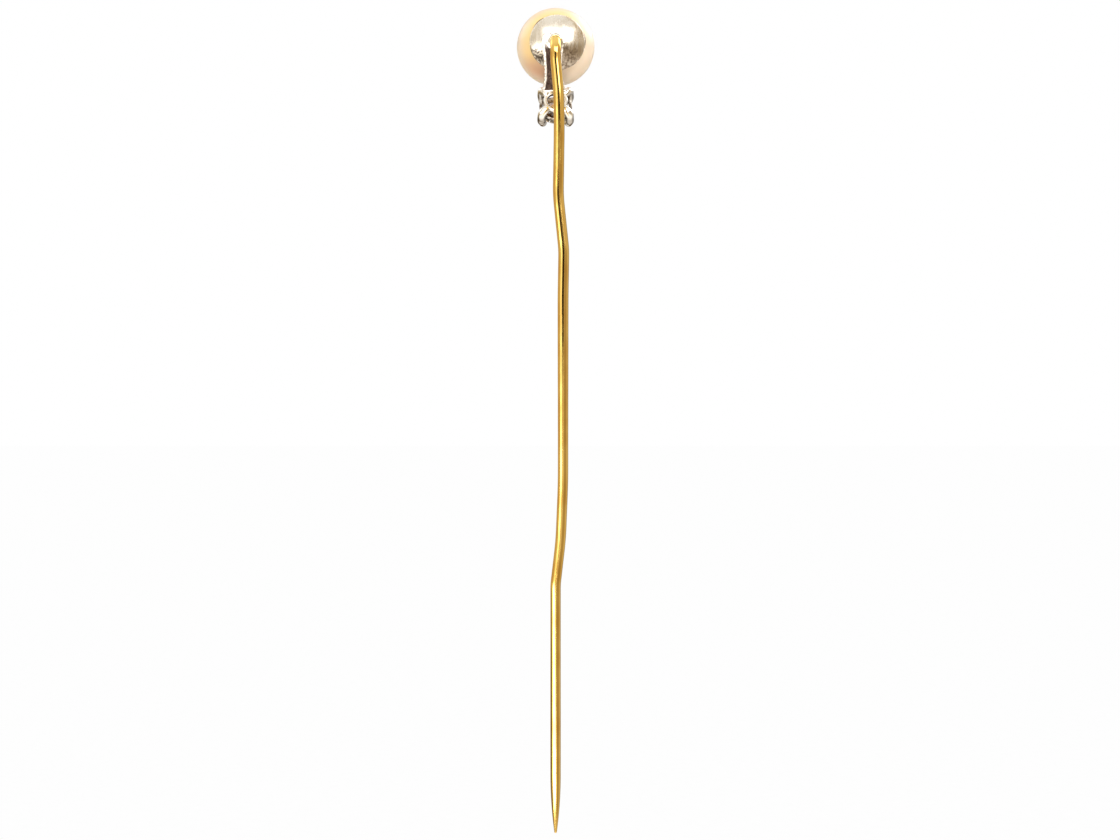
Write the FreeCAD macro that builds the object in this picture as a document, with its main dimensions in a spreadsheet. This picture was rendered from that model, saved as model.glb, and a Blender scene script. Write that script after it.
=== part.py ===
import FreeCAD, Part
import math
import os
import re

import Sketcher
from FreeCAD import Placement, Rotation, Vector

# A stick pin: a pearl in a domed white-metal cup, a small claw-set diamond hung below it on a strap,
# and a gold wire stem that leaves the back of the cup, bends down and ends in a sharp point.
#
# Frame: millimetres, +Z up. The origin is the tip of the point and +Z runs up the straight lower shank.
# The decorated front faces -Y, so the cup, the strap and the stem are at the back, towards +Y.
# Left and right in the names are those of someone who looks at the front, so left is -X.

# ---------------------------------------------------------------------------------------------------
# Driving dimensions. Each one becomes a named cell of the spreadsheet.
# ---------------------------------------------------------------------------------------------------

DIMENSIONS = [
    # the wire of the stem
    ("wire_diameter", 0.80, "shank and lower half of the grip"),
    ("upper_wire_diameter", 0.84, "upper half of the grip and the neck"),
    ("root_diameter", 0.92, "where the wire is soldered into the cup"),
    ("top_bend_radius", 1.10, "centreline of the bend behind the pearl"),
    # the point
    ("point_length", 4.60, "sharpened length"),
    ("tip_halfwidth", 0.10, "the tip is slightly blunt"),
    # the two kinks that keep the pin from slipping out of the cloth: heights and sideways offsets
    ("kink_height", 19.15, "sharp kink above the shank"),
    ("kink_bend", 5.0, "each bend is the radius of the wire's centreline there"),
    ("sweep_height", 22.60, "the wire curves back upright"),
    ("sweep_offset", 0.40, "each offset is towards -X from the shank's line"),
    ("sweep_bend", 25.0, ""),
    ("grip_bottom_height", 27.00, ""),
    ("grip_bottom_bend", 60.0, ""),
    ("grip_offset", 0.575, "the straight grip stands beside the shank's line"),
    ("thin_grip_height", 30.00, "the wire grows from here"),
    ("thick_grip_height", 40.00, "to here"),
    ("grip_top_height", 41.20, ""),
    ("grip_top_bend", 40.0, ""),
    ("knee_height", 44.90, "lower end of the upper jog"),
    ("knee_offset", 0.635, ""),
    ("knee_bend", 9.0, ""),
    ("jog_height", 49.10, "upper end of the upper jog"),
    ("jog_offset", 0.205, ""),
    ("jog_bend", 12.0, ""),
    ("neck_height", 54.40, ""),
    ("neck_offset", 0.285, ""),
    ("neck_bend", 60.0, ""),
    ("throat_height", 57.00, "behind the setting"),
    ("throat_offset", 0.24, ""),
    ("throat_bend", 16.0, ""),
    ("straight_height", 59.60, "the wire is above the shank's line again"),
    ("straight_bend", 5.0, ""),
    # the pearl, its cup and what holds it
    ("head_height", 61.14, "centre of the pearl and of the stem's root"),
    ("pearl_setback", 4.40, "from the stem's line forward to the pearl's centre"),
    ("pearl_diameter", 6.10, ""),
    ("drill_diameter", 0.84, "half-drilled hole in the pearl"),
    ("drill_depth", 4.00, ""),
    ("cement_gap", 0.08, "between the pearl and the cup"),
    ("cup_wall", 0.30, ""),
    ("cup_angle", 39.5, "from the cup's pole to its rim, in degrees"),
    ("cup_turn", 2.8, "the cup sits slightly turned on the pearl, in degrees"),
    ("cement_angle", 33.0, "the cement stops short of the rim, in degrees"),
    ("cement_plug_rise", 0.02, "the cement in the drilled hole reaches this far past the pearl"),
    ("peg_diameter", 0.70, ""),
    ("peg_length", 3.85, ""),
    ("peg_groove_depth", 0.08, "keys the cement"),
    ("peg_groove_width", 0.30, ""),
    ("peg_groove_pitch", 0.90, ""),
    ("peg_groove_start", 0.20, "from the wire's end, one pitch short of the first groove"),
    # the strap from the cup to the setting
    ("strap_thickness", 0.35, ""),
    ("strap_seat", 0.15, "how deep the strap's eye is dished by the cup"),
    ("strap_offset", 0.20, "the eye and the waist stand a little to the right"),
    ("strap_bend_radius", 6.10, "inner face, curving forward"),
    ("strap_bend_angle", 42.0, "degrees"),
    ("eye_radius", 0.87, "round upper end, around the stem's root"),
    ("eye_shoulder_drop", 0.30, "where the eye's round meets the waist"),
    ("waist_halfwidth", 0.65, ""),
    ("waist_drop", 2.30, "below the eye's centre"),
    ("foot_halfwidth", 1.02, ""),
    ("foot_offset", 0.04, ""),
    ("foot_drop", 3.72, "the foot's straight lower edge, below the eye's centre"),
    # solder
    ("collar_radius", 0.74, "solder around the stem's root"),
    ("collar_rise", 0.17, "drawn up round the root"),
    ("collar_edge_rise", 0.034, "the collar's outer edge stands this proud of the strap"),
    ("collar_sweep", 0.51, "radius of its hollow flank"),
    ("collar_drop", 0.04, "the solder has run a little below the root"),
    ("seam_diameter", 0.26, "solder bead under the strap's foot"),
    ("seam_halflength", 0.90, ""),
    ("seam_drop", 0.02, "below the foot's lower edge"),
    # the setting of the small stone
    ("setting_drop", 4.56, "from the pearl's centre down to the base rail's centre"),
    ("setting_setback", 1.95, "from the stem's line forward to the base rail's centre"),
    ("setting_tilt", 27.0, "the stone faces forward and down by this angle, in degrees"),
    ("rail_inner_radius", 0.65, "flat ring at the back of the setting"),
    ("rail_outer_radius", 0.94, ""),
    ("rail_thickness", 0.34, ""),
    ("rail_edge_radius", 0.09, ""),
    ("gallery_radius", 1.16, "round wire ring below the stone"),
    ("gallery_wire", 0.24, ""),
    ("gallery_rise", 0.72, "forward of the base rail"),
    ("claw_diameter", 0.64, ""),
    ("claw_start_radius", 0.88, ""),
    ("claw_elbow_radius", 1.53, "distance of the elbow from the setting's axis"),
    ("claw_elbow_bend", 0.42, ""),
    ("claw_shoulder_radius", 1.57, ""),
    ("claw_shoulder_rise", 1.05, ""),
    ("claw_shoulder_bend", 0.80, ""),
    ("claw_tip_radius", 1.42, ""),
    ("claw_tip_rise", 1.46, ""),
    # the diamond, an old round cut
    ("stone_diameter", 2.50, ""),
    ("girdle_rise", 1.22, "forward of the base rail"),
    ("girdle_thickness", 0.06, ""),
    ("table_corner_radius", 0.67, ""),
    ("crown_angle", 36.0, "degrees"),
    ("star_share", 0.45, "how far the stars reach from the table to the girdle"),
    ("pavilion_angle", 41.0, "degrees"),
    ("lower_half_share", 0.62, "how far the lower halves reach from the girdle to the culet"),
    ("culet_radius", 0.09, "small flat at the stone's bottom"),
]

CLAWS = {"claw_upper_right": 45, "claw_upper_left": 135, "claw_lower_left": 225, "claw_lower_right": 315}
FACET_MARGIN = 0.3  # how far a facet's cutter reaches past the stone
BLANK_MARGIN = 0.4  # how far the strap's blank reaches past its outline
CUTTER_MARGIN = 2.0  # how far the cutter that trims the blank reaches past its outline
TOLERANCE_MM3 = 1e-4  # the largest overlap allowed between two finished pieces

doc = FreeCAD.newDocument("StickPin")
sheet = doc.addObject("Spreadsheet::Sheet", "Dimensions")
for row, (alias, value, note) in enumerate(DIMENSIONS, start=1):
    sheet.set(f"A{row}", alias)
    sheet.set(f"B{row}", str(value))
    sheet.set(f"C{row}", note)
    sheet.setAlias(f"B{row}", alias)
doc.recompute()

ALIAS = re.compile(r"\b(" + "|".join(alias for alias, _, _ in DIMENSIONS) + r")\b")


def size(text):
    """The number that a formula in the sheet's names gives now."""
    return float(sheet.evalExpression(str(text)))


def bind(target, path, text):
    """Bind a property to a formula in the sheet's names."""
    target.setExpression(path, ALIAS.sub(r"Dimensions.\1", str(text)))


# Formulas that several pieces share.
PEARL_RADIUS = "pearl_diameter / 2"
CUP_INSIDE = "(pearl_diameter / 2 + cement_gap)"
CUP_OUTSIDE = "(pearl_diameter / 2 + cement_gap + cup_wall)"
ROOT_END = f"sqrt({CUP_INSIDE} ^ 2 - (root_diameter / 2) ^ 2)"  # from the pearl's centre to the wire's end
STONE_RADIUS = "(stone_diameter / 2)"
GIRDLE_TOP = "(girdle_rise + girdle_thickness)"
TABLE_RISE = f"({GIRDLE_TOP} + ({STONE_RADIUS} - table_corner_radius) * tan(crown_angle * 1 deg))"
CULET_RISE = f"(girdle_rise - ({STONE_RADIUS} - culet_radius) * tan(pavilion_angle * 1 deg))"


# ---------------------------------------------------------------------------------------------------
# Sketching
# ---------------------------------------------------------------------------------------------------


def new_body(label):
    body = doc.addObject("PartDesign::Body", label)
    body.Label = label
    return body


def new_sketch(body, plane, rise=None, turn=0.0):
    """A sketch on one of its body's origin planes, moved along the normal and turned about the up axis."""
    sketch = body.newObject("Sketcher::SketchObject", body.Label + "_sketch")
    sketch.AttachmentSupport = [(next(f for f in body.Origin.OriginFeatures if f.Role == plane), "")]
    sketch.MapMode = "FlatFace"
    sketch.AttachmentOffset = Placement(Vector(), Rotation(Vector(0, 1, 0), turn))
    if rise is not None:
        bind(sketch, ".AttachmentOffset.Base.z", rise)
    return sketch


def hold(sketch, kind, *where, text):
    """Add a dimension to a sketch and bind it to a formula."""
    number = sketch.addConstraint(Sketcher.Constraint(kind, *where, size(text)))
    bind(sketch, f"Constraints[{number}]", text)


def hold_point(sketch, edge, end, across, up):
    """Hold one end of an edge at a place measured from the sketch's origin."""
    hold(sketch, "DistanceX", -1, 1, edge, end, text=across)
    hold(sketch, "DistanceY", -1, 1, edge, end, text=up)


def circle(sketch, across, up, radius):
    edge = sketch.addGeometry(Part.Circle(Vector(size(across), size(up), 0), Vector(0, 0, 1), size(radius)))
    hold_point(sketch, edge, 3, across, up)
    hold(sketch, "Radius", edge, text=radius)


def arc_between(start, end, radius, turn):
    """The short arc from start to end, and its ends' numbers: anticlockwise if turn is 1, else clockwise."""
    chord = end - start
    rise = math.sqrt(max(radius**2 - chord.Length**2 / 4, 0.0))
    centre = (start + end) / 2 + Vector(-chord.y, chord.x, 0).normalize() * rise * turn
    first, last = (start, end) if turn > 0 else (end, start)
    angles = [math.atan2(p.y - centre.y, p.x - centre.x) for p in (first, last)]
    arc = Part.ArcOfCircle(Part.Circle(centre, Vector(0, 0, 1), radius), *angles)
    return arc, ((1, 2) if turn > 0 else (2, 1))


def outline(sketch, corners):
    """A closed outline. Each corner is (across, up), or (across, up, radius, turn) if an arc leaves it."""
    places = [Vector(size(c[0]), size(c[1]), 0) for c in corners]
    edges = []
    for number, corner in enumerate(corners):
        start, end = places[number], places[(number + 1) % len(places)]
        if len(corner) > 2:
            arc, ends = arc_between(start, end, size(corner[2]), corner[3])
            edges.append((sketch.addGeometry(arc), *ends))
        else:
            edges.append((sketch.addGeometry(Part.LineSegment(start, end)), 1, 2))
    for number, corner in enumerate(corners):
        edge, first, _ = edges[number]
        before, _, last = edges[number - 1]
        sketch.addConstraint(Sketcher.Constraint("Coincident", before, last, edge, first))
        hold_point(sketch, edge, first, corner[0], corner[1])
        if len(corner) > 2:
            hold(sketch, "Radius", edge, text=corner[2])


def bent_path(sketch, start, bends, end):
    """Straight runs from start to end, rounded at each bend (across, up, radius) by a tangent arc."""
    places = [Vector(size(p[0]), size(p[1]), 0) for p in (start, *bends, end)]
    headings = {}
    leave, arrive = list(places), list(places)
    for number, bend in enumerate(bends, start=1):
        back = (places[number - 1] - places[number]).normalize()
        ahead = (places[number + 1] - places[number]).normalize()
        trim = size(bend[2]) / math.tan(back.getAngle(ahead) / 2)
        arrive[number] = places[number] + back * trim
        leave[number] = places[number] + ahead * trim
        headings[number] = ahead
    lines = [
        sketch.addGeometry(Part.LineSegment(leave[n], arrive[n + 1])) for n in range(len(places) - 1)
    ]
    hold_point(sketch, lines[0], 1, *start)
    hold_point(sketch, lines[-1], 2, *end)
    for number, bend in enumerate(bends, start=1):
        before, after = lines[number - 1], lines[number]
        run = places[number] - places[number - 1]
        turn = 1 if run.cross(headings[number]).z > 0 else -1
        arc, (first, last) = arc_between(arrive[number], leave[number], size(bend[2]), turn)
        bow = sketch.addGeometry(arc)
        corner = sketch.addGeometry(Part.Point(places[number]), True)
        hold_point(sketch, corner, 1, bend[0], bend[1])
        for line in (before, after):
            sketch.addConstraint(Sketcher.Constraint("PointOnObject", corner, 1, line))
        sketch.addConstraint(Sketcher.Constraint("Tangent", before, 2, bow, first))
        sketch.addConstraint(Sketcher.Constraint("Tangent", bow, last, after, 1))
        hold(sketch, "Radius", bow, text=bend[2])
    doc.recompute()


def axis_line(sketch, across, up, angle="0"):
    """A construction line to turn a sketch about, from a point at an angle from upright towards -across."""
    start = Vector(size(across), size(up), 0)
    lean = math.radians(size(angle))
    end = start + Vector(-math.sin(lean), math.cos(lean), 0)
    line = sketch.addGeometry(Part.LineSegment(start, end), True)
    hold_point(sketch, line, 1, across, up)
    hold_point(sketch, line, 2, f"{across} - sin({angle} * 1 deg)", f"{up} + cos({angle} * 1 deg)")
    return "Axis0"


# ---------------------------------------------------------------------------------------------------
# Features
# ---------------------------------------------------------------------------------------------------


def feature(body, kind, sketch):
    made = body.newObject("PartDesign::" + kind, body.Label + "_" + kind.lower())
    made.Profile = sketch
    return made


def revolve(body, sketch, axis="V_Axis"):
    made = feature(body, "Revolution", sketch)
    made.ReferenceAxis = (sketch, [axis])
    made.Angle = 360
    doc.recompute()
    return made


def pad(body, sketch, length, both_ways=False):
    made = feature(body, "Pad", sketch)
    bind(made, "Length", length)
    made.Midplane = both_ways
    doc.recompute()
    return made


def check_smaller(body, volume):
    """Stop if a cut left its body as large as it was."""
    if body.Shape.Volume > volume - TOLERANCE_MM3:
        raise RuntimeError(f"a cut took nothing from {body.Label}")


def pocket_through(body, sketch):
    volume = body.Shape.Volume
    made = feature(body, "Pocket", sketch)
    made.Type = "ThroughAll"
    made.Midplane = True
    doc.recompute()
    check_smaller(body, volume)
    return made


def groove(body, sketch, axis="V_Axis"):
    volume = body.Shape.Volume
    made = feature(body, "Groove", sketch)
    made.ReferenceAxis = (sketch, [axis])
    made.Angle = 360
    doc.recompute()
    check_smaller(body, volume)
    return made


def pipe(body, profile, path, sections=()):
    made = feature(body, "AdditivePipe", profile)
    made.Spine = (path, [f"Edge{n}" for n in range(1, len(path.Shape.Edges) + 1)])
    if sections:
        made.Transformation = "Multisection"
        made.Sections = [(section, [""]) for section in sections]
    doc.recompute()
    return made


def place(target, offsets, *turns):
    """Put a piece's own origin at formulas for x, y and z, turned by each (axis, degrees), outermost first."""
    turned = " * ".join(f"rotation(vector({axis}); {degrees})" for axis, degrees in turns)
    bind(target, "Placement", f"placement(vector({'; '.join(offsets)}); {turned})")
    doc.recompute()
    return target


def cut(label, blank, *tools):
    """A finished piece: its blank, cut by each of its neighbours in turn, so that they meet face to face."""
    made = blank
    for tool in tools:
        whole = made
        made = doc.addObject("Part::Cut", f"{label}_less_{tool.Label}")
        made.Base, made.Tool = whole, tool
        doc.recompute()
    made.Label = label
    return made


# ---------------------------------------------------------------------------------------------------
# Stem
# ---------------------------------------------------------------------------------------------------


def make_pin_stem():
    """One gold wire: point, shank, kinked grip, neck and the bend that carries it into the cup."""
    body = new_body("pin_stem")
    half = "wire_diameter / 2"
    point = new_sketch(body, "XZ_Plane")
    across, along = f"({half} - tip_halfwidth)", "(point_length - tip_halfwidth)"
    flank = f"({across} ^ 2 + {along} ^ 2) / (2 * {across})"
    outline(
        point,
        [
            ("0", "0", "tip_halfwidth", 1),
            ("tip_halfwidth", "tip_halfwidth", flank, 1),
            (half, "point_length"),
            ("0", "point_length"),
        ],
    )
    revolve(body, point)

    lower = new_sketch(body, "XZ_Plane")
    bent_path(
        lower,
        ("0", "point_length"),
        [
            ("0", "kink_height", "kink_bend"),
            ("-sweep_offset", "sweep_height", "sweep_bend"),
            ("-grip_offset", "grip_bottom_height", "grip_bottom_bend"),
        ],
        ("-grip_offset", "thin_grip_height"),
    )
    start = new_sketch(body, "XY_Plane", rise="point_length")
    circle(start, "0", "0", half)
    pipe(body, start, lower)

    rings = []
    sizes = (("thin_grip_height", "wire_diameter"), ("thick_grip_height", "upper_wire_diameter"))
    for rise, diameter in sizes:
        ring = new_sketch(body, "XY_Plane", rise=rise)
        circle(ring, "-grip_offset", "0", f"{diameter} / 2")
        rings.append(ring)
    growth = feature(body, "AdditiveLoft", rings[0])
    growth.Sections = [(rings[1], [""])]
    doc.recompute()

    upper = new_sketch(body, "XZ_Plane")
    bent_path(
        upper,
        ("-grip_offset", "thick_grip_height"),
        [
            ("-grip_offset", "grip_top_height", "grip_top_bend"),
            ("-knee_offset", "knee_height", "knee_bend"),
            ("-jog_offset", "jog_height", "jog_bend"),
            ("-neck_offset", "neck_height", "neck_bend"),
            ("-throat_offset", "throat_height", "throat_bend"),
            ("0", "straight_height", "straight_bend"),
        ],
        ("0", "head_height - top_bend_radius"),
    )
    start = new_sketch(body, "XY_Plane", rise="thick_grip_height")
    circle(start, "-grip_offset", "0", "upper_wire_diameter / 2")
    pipe(body, start, upper)

    bend = new_sketch(body, "YZ_Plane")
    centre = Vector(-size("top_bend_radius"), size("head_height - top_bend_radius"), 0)
    around = Part.Circle(centre, Vector(0, 0, 1), size("top_bend_radius"))
    arc = bend.addGeometry(Part.ArcOfCircle(around, 0, math.pi / 2))
    hold_point(bend, arc, 1, "0", "head_height - top_bend_radius")
    hold_point(bend, arc, 2, "-top_bend_radius", "head_height")
    hold(bend, "Radius", arc, text="top_bend_radius")
    start = new_sketch(body, "XY_Plane", rise="head_height - top_bend_radius")
    circle(start, "0", "0", "upper_wire_diameter / 2")
    root = new_sketch(body, "XZ_Plane", rise="top_bend_radius")
    circle(root, "0", "head_height", "root_diameter / 2")
    doc.recompute()
    pipe(body, start, bend, [root])

    stub = new_sketch(body, "XZ_Plane", rise="top_bend_radius")
    circle(stub, "0", "head_height", "root_diameter / 2")
    pad(body, stub, f"pearl_setback - {ROOT_END} - top_bend_radius")
    return body


# ---------------------------------------------------------------------------------------------------
# Pearl, cup, peg and cement. In their own frames the pearl's centre is the origin and +Z points back.
# ---------------------------------------------------------------------------------------------------

PEARL_PLACE = ("0", "-pearl_setback", "head_height")
FACING_BACK = ("1; 0; 0", "-90")


def make_pearl():
    """A round pearl, half-drilled from the back."""
    body = new_body("pearl")
    ball = new_sketch(body, "XZ_Plane")
    outline(
        ball,
        [
            ("0", f"-{PEARL_RADIUS}", PEARL_RADIUS, 1),
            (PEARL_RADIUS, "0", PEARL_RADIUS, 1),
            ("0", PEARL_RADIUS),
        ],
    )
    revolve(body, ball)
    drill = new_sketch(body, "XZ_Plane")
    outline(
        drill,
        [
            ("0", f"{PEARL_RADIUS} - drill_depth"),
            ("drill_diameter / 2", f"{PEARL_RADIUS} - drill_depth"),
            ("drill_diameter / 2", f"{PEARL_RADIUS} + cup_wall"),
            ("0", f"{PEARL_RADIUS} + cup_wall"),
        ],
    )
    groove(body, drill)
    return place(body, PEARL_PLACE, FACING_BACK)


def dish_sketch(body, inside, outside, reach):
    """The section of a spherical dish about the cup's turned axis, and that axis."""
    sketch = new_sketch(body, "XZ_Plane")
    axis = axis_line(sketch, "0", "0", "cup_turn")
    near, far = "(-cup_turn * 1 deg)", f"(({reach} - cup_turn) * 1 deg)"
    outline(
        sketch,
        [
            (f"{inside} * sin{near}", f"{inside} * cos{near}"),
            (f"{outside} * sin{near}", f"{outside} * cos{near}", outside, -1),
            (f"{outside} * sin{far}", f"{outside} * cos{far}"),
            (f"{inside} * sin{far}", f"{inside} * cos{far}", inside, 1),
        ],
    )
    return sketch, axis


def make_cup_blank():
    """The domed cup behind the pearl, before the stem's hole is cut."""
    body = new_body("cup_blank")
    sketch, axis = dish_sketch(body, CUP_INSIDE, CUP_OUTSIDE, "cup_angle")
    revolve(body, sketch, axis)
    return place(body, PEARL_PLACE, FACING_BACK)


def make_peg():
    """The peg that stands in the cup and holds the pearl, grooved so that the cement keys to it."""
    body = new_body("pearl_peg")
    half, slim = "peg_diameter / 2", "(peg_diameter / 2 - peg_groove_depth)"
    corners = [("0", f"{ROOT_END} - peg_length"), (half, f"{ROOT_END} - peg_length")]
    for groove in (3, 2, 1):
        middle = f"{ROOT_END} - peg_groove_start - {groove} * peg_groove_pitch"
        corners += [
            (half, f"{middle} - peg_groove_width / 2"),
            (slim, f"{middle} - peg_groove_width / 4"),
            (slim, f"{middle} + peg_groove_width / 4"),
            (half, f"{middle} + peg_groove_width / 2"),
        ]
    corners += [(half, ROOT_END), ("0", ROOT_END)]
    sketch = new_sketch(body, "XZ_Plane")
    outline(sketch, corners)
    revolve(body, sketch)
    return place(body, PEARL_PLACE, FACING_BACK)


def make_cement_blank():
    """Cement: a thin dish between the pearl and the cup, and a plug that fills the drilled hole."""
    body = new_body("cement_blank")
    sketch, axis = dish_sketch(body, f"({PEARL_RADIUS})", CUP_INSIDE, "cement_angle")
    revolve(body, sketch, axis)
    plug = new_sketch(body, "XZ_Plane")
    outline(
        plug,
        [
            ("0", f"{PEARL_RADIUS} - drill_depth"),
            ("drill_diameter / 2", f"{PEARL_RADIUS} - drill_depth"),
            ("drill_diameter / 2", f"{PEARL_RADIUS} + cement_plug_rise"),
            ("0", f"{PEARL_RADIUS} + cement_plug_rise"),
        ],
    )
    revolve(body, plug)
    return place(body, PEARL_PLACE, FACING_BACK)


# ---------------------------------------------------------------------------------------------------
# Setting. In its own frame the base rail's centre is the origin and +Z points out through the stone.
# ---------------------------------------------------------------------------------------------------

SETTING_PLACE = ("0", "-setting_setback", "head_height - setting_drop")
FACING_FRONT = ("1; 0; 0", "90 + setting_tilt")


def make_base_rail():
    """The flat ring at the back of the setting, with eased edges."""
    body = new_body("base_rail")
    sketch = new_sketch(body, "XZ_Plane")
    outline(
        sketch,
        [
            ("rail_inner_radius", "-rail_thickness / 2"),
            ("rail_outer_radius", "-rail_thickness / 2"),
            ("rail_outer_radius", "rail_thickness / 2"),
            ("rail_inner_radius", "rail_thickness / 2"),
        ],
    )
    ring = revolve(body, sketch)
    eased = body.newObject("PartDesign::Fillet", "base_rail_fillet")
    eased.Base = (ring, [f"Edge{n}" for n in range(1, len(ring.Shape.Edges) + 1)])
    eased.UseAllEdges = True
    bind(eased, "Radius", "rail_edge_radius")
    doc.recompute()
    return place(body, SETTING_PLACE, FACING_FRONT)


def make_gallery_rail():
    """The thin round ring that ties the claws together below the stone."""
    ring = doc.addObject("Part::Torus", "gallery_rail")
    bind(ring, "Radius1", "gallery_radius")
    bind(ring, "Radius2", "gallery_wire / 2")
    forward, down = "gallery_rise * cos(setting_tilt * 1 deg)", "gallery_rise * sin(setting_tilt * 1 deg)"
    middle = ("0", f"-setting_setback - {forward}", f"head_height - setting_drop - {down}")
    return place(ring, middle, FACING_FRONT)


def make_facets(body, slope, at_radius, at_rise, azimuth, count, up):
    """Cut a ring of flat facets, each through a point at a radius and a rise; its slope is tan(angle)."""
    side = 1 if up else -1
    rim = f"({STONE_RADIUS} + {FACET_MARGIN})"
    level = f"({TABLE_RISE} + {FACET_MARGIN})" if up else f"({CULET_RISE} - {FACET_MARGIN})"
    low = f"({at_rise} - {side} * ({rim} - {at_radius}) * {slope})"
    inner = f"({at_radius} - {side} * ({level} - {at_rise}) / {slope})"
    sketch = new_sketch(body, "XZ_Plane", turn=azimuth)
    outline(sketch, [(rim, low), (rim, level), (inner, level)])
    facet = pocket_through(body, sketch)
    volume = body.Shape.Volume
    ring = body.newObject("PartDesign::PolarPattern", "facet_ring")
    ring.Originals = [facet]
    ring.Axis = (next(f for f in body.Origin.OriginFeatures if f.Role == "Z_Axis"), [""])
    ring.Angle = 360
    ring.Occurrences = count
    body.Tip = ring
    doc.recompute()
    check_smaller(body, volume)


def make_diamond():
    """An old round brilliant: 8 mains and 16 halves above and below, 8 stars, a table and a small culet."""
    body = new_body("diamond")
    rough = new_sketch(body, "XZ_Plane")
    outline(
        rough,
        [
            ("0", CULET_RISE),
            (STONE_RADIUS, CULET_RISE),
            (STONE_RADIUS, TABLE_RISE),
            ("0", TABLE_RISE),
        ],
    )
    revolve(body, rough)
    main, eighth = 0.0, 22.5  # a main facet's azimuth, and the angle to the line between two mains
    half = eighth / 2
    cos_eighth, cos_half = f"cos({eighth} deg)", f"cos({half} deg)"
    crown_slope = "tan(crown_angle * 1 deg)"
    inner_edge = f"(table_corner_radius * {cos_eighth})"
    star_tip = f"({inner_edge} + star_share * ({STONE_RADIUS} - {inner_edge}))"
    star_tip_rise = f"({GIRDLE_TOP} + ({STONE_RADIUS} - {star_tip} * {cos_eighth}) * {crown_slope})"
    star_slope = f"(({TABLE_RISE} - {star_tip_rise}) / ({star_tip} - {inner_edge}))"
    upper_half_slope = f"(({star_tip_rise} - {GIRDLE_TOP}) / (({STONE_RADIUS} - {star_tip}) * {cos_half}))"
    make_facets(body, crown_slope, STONE_RADIUS, GIRDLE_TOP, main, 8, up=True)
    make_facets(body, upper_half_slope, f"({STONE_RADIUS} * {cos_half})", GIRDLE_TOP, half, 16, up=True)
    make_facets(body, star_slope, inner_edge, TABLE_RISE, eighth, 8, up=True)

    pavilion_slope = "tan(pavilion_angle * 1 deg)"
    reach = f"({STONE_RADIUS} * (1 - lower_half_share))"
    reach_rise = f"(girdle_rise - ({STONE_RADIUS} - {reach} * {cos_eighth}) * {pavilion_slope})"
    lower_half_slope = f"((girdle_rise - {reach_rise}) / (({STONE_RADIUS} - {reach}) * {cos_half}))"
    make_facets(body, pavilion_slope, STONE_RADIUS, "girdle_rise", main, 8, up=False)
    make_facets(body, lower_half_slope, f"({STONE_RADIUS} * {cos_half})", "girdle_rise", half, 16, up=False)
    return place(body, SETTING_PLACE, FACING_FRONT)


def make_claw_blank(label, azimuth):
    """A claw of round wire: an arm out from the rail, an elbow, a prong forward and a domed tip."""
    body = new_body(label + "_blank")
    path = new_sketch(body, "XZ_Plane")
    bent_path(
        path,
        ("claw_start_radius", "0"),
        [
            ("claw_elbow_radius", "0", "claw_elbow_bend"),
            ("claw_shoulder_radius", "claw_shoulder_rise", "claw_shoulder_bend"),
        ],
        ("claw_tip_radius", "claw_tip_rise"),
    )
    wire = new_sketch(body, "YZ_Plane", rise="claw_start_radius")
    circle(wire, "0", "0", "claw_diameter / 2")
    pipe(body, wire, path)
    dome = new_sketch(body, "XZ_Plane")
    axis = axis_line(dome, "claw_tip_radius", "claw_tip_rise")
    half = "claw_diameter / 2"
    outline(
        dome,
        [
            ("claw_tip_radius", f"claw_tip_rise - {half}", half, 1),
            (f"claw_tip_radius + {half}", "claw_tip_rise", half, 1),
            ("claw_tip_radius", f"claw_tip_rise + {half}"),
        ],
    )
    revolve(body, dome, axis)
    return place(body, SETTING_PLACE, FACING_FRONT, ("0; 0; 1", azimuth))


# ---------------------------------------------------------------------------------------------------
# Strap and solder
# ---------------------------------------------------------------------------------------------------


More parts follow.
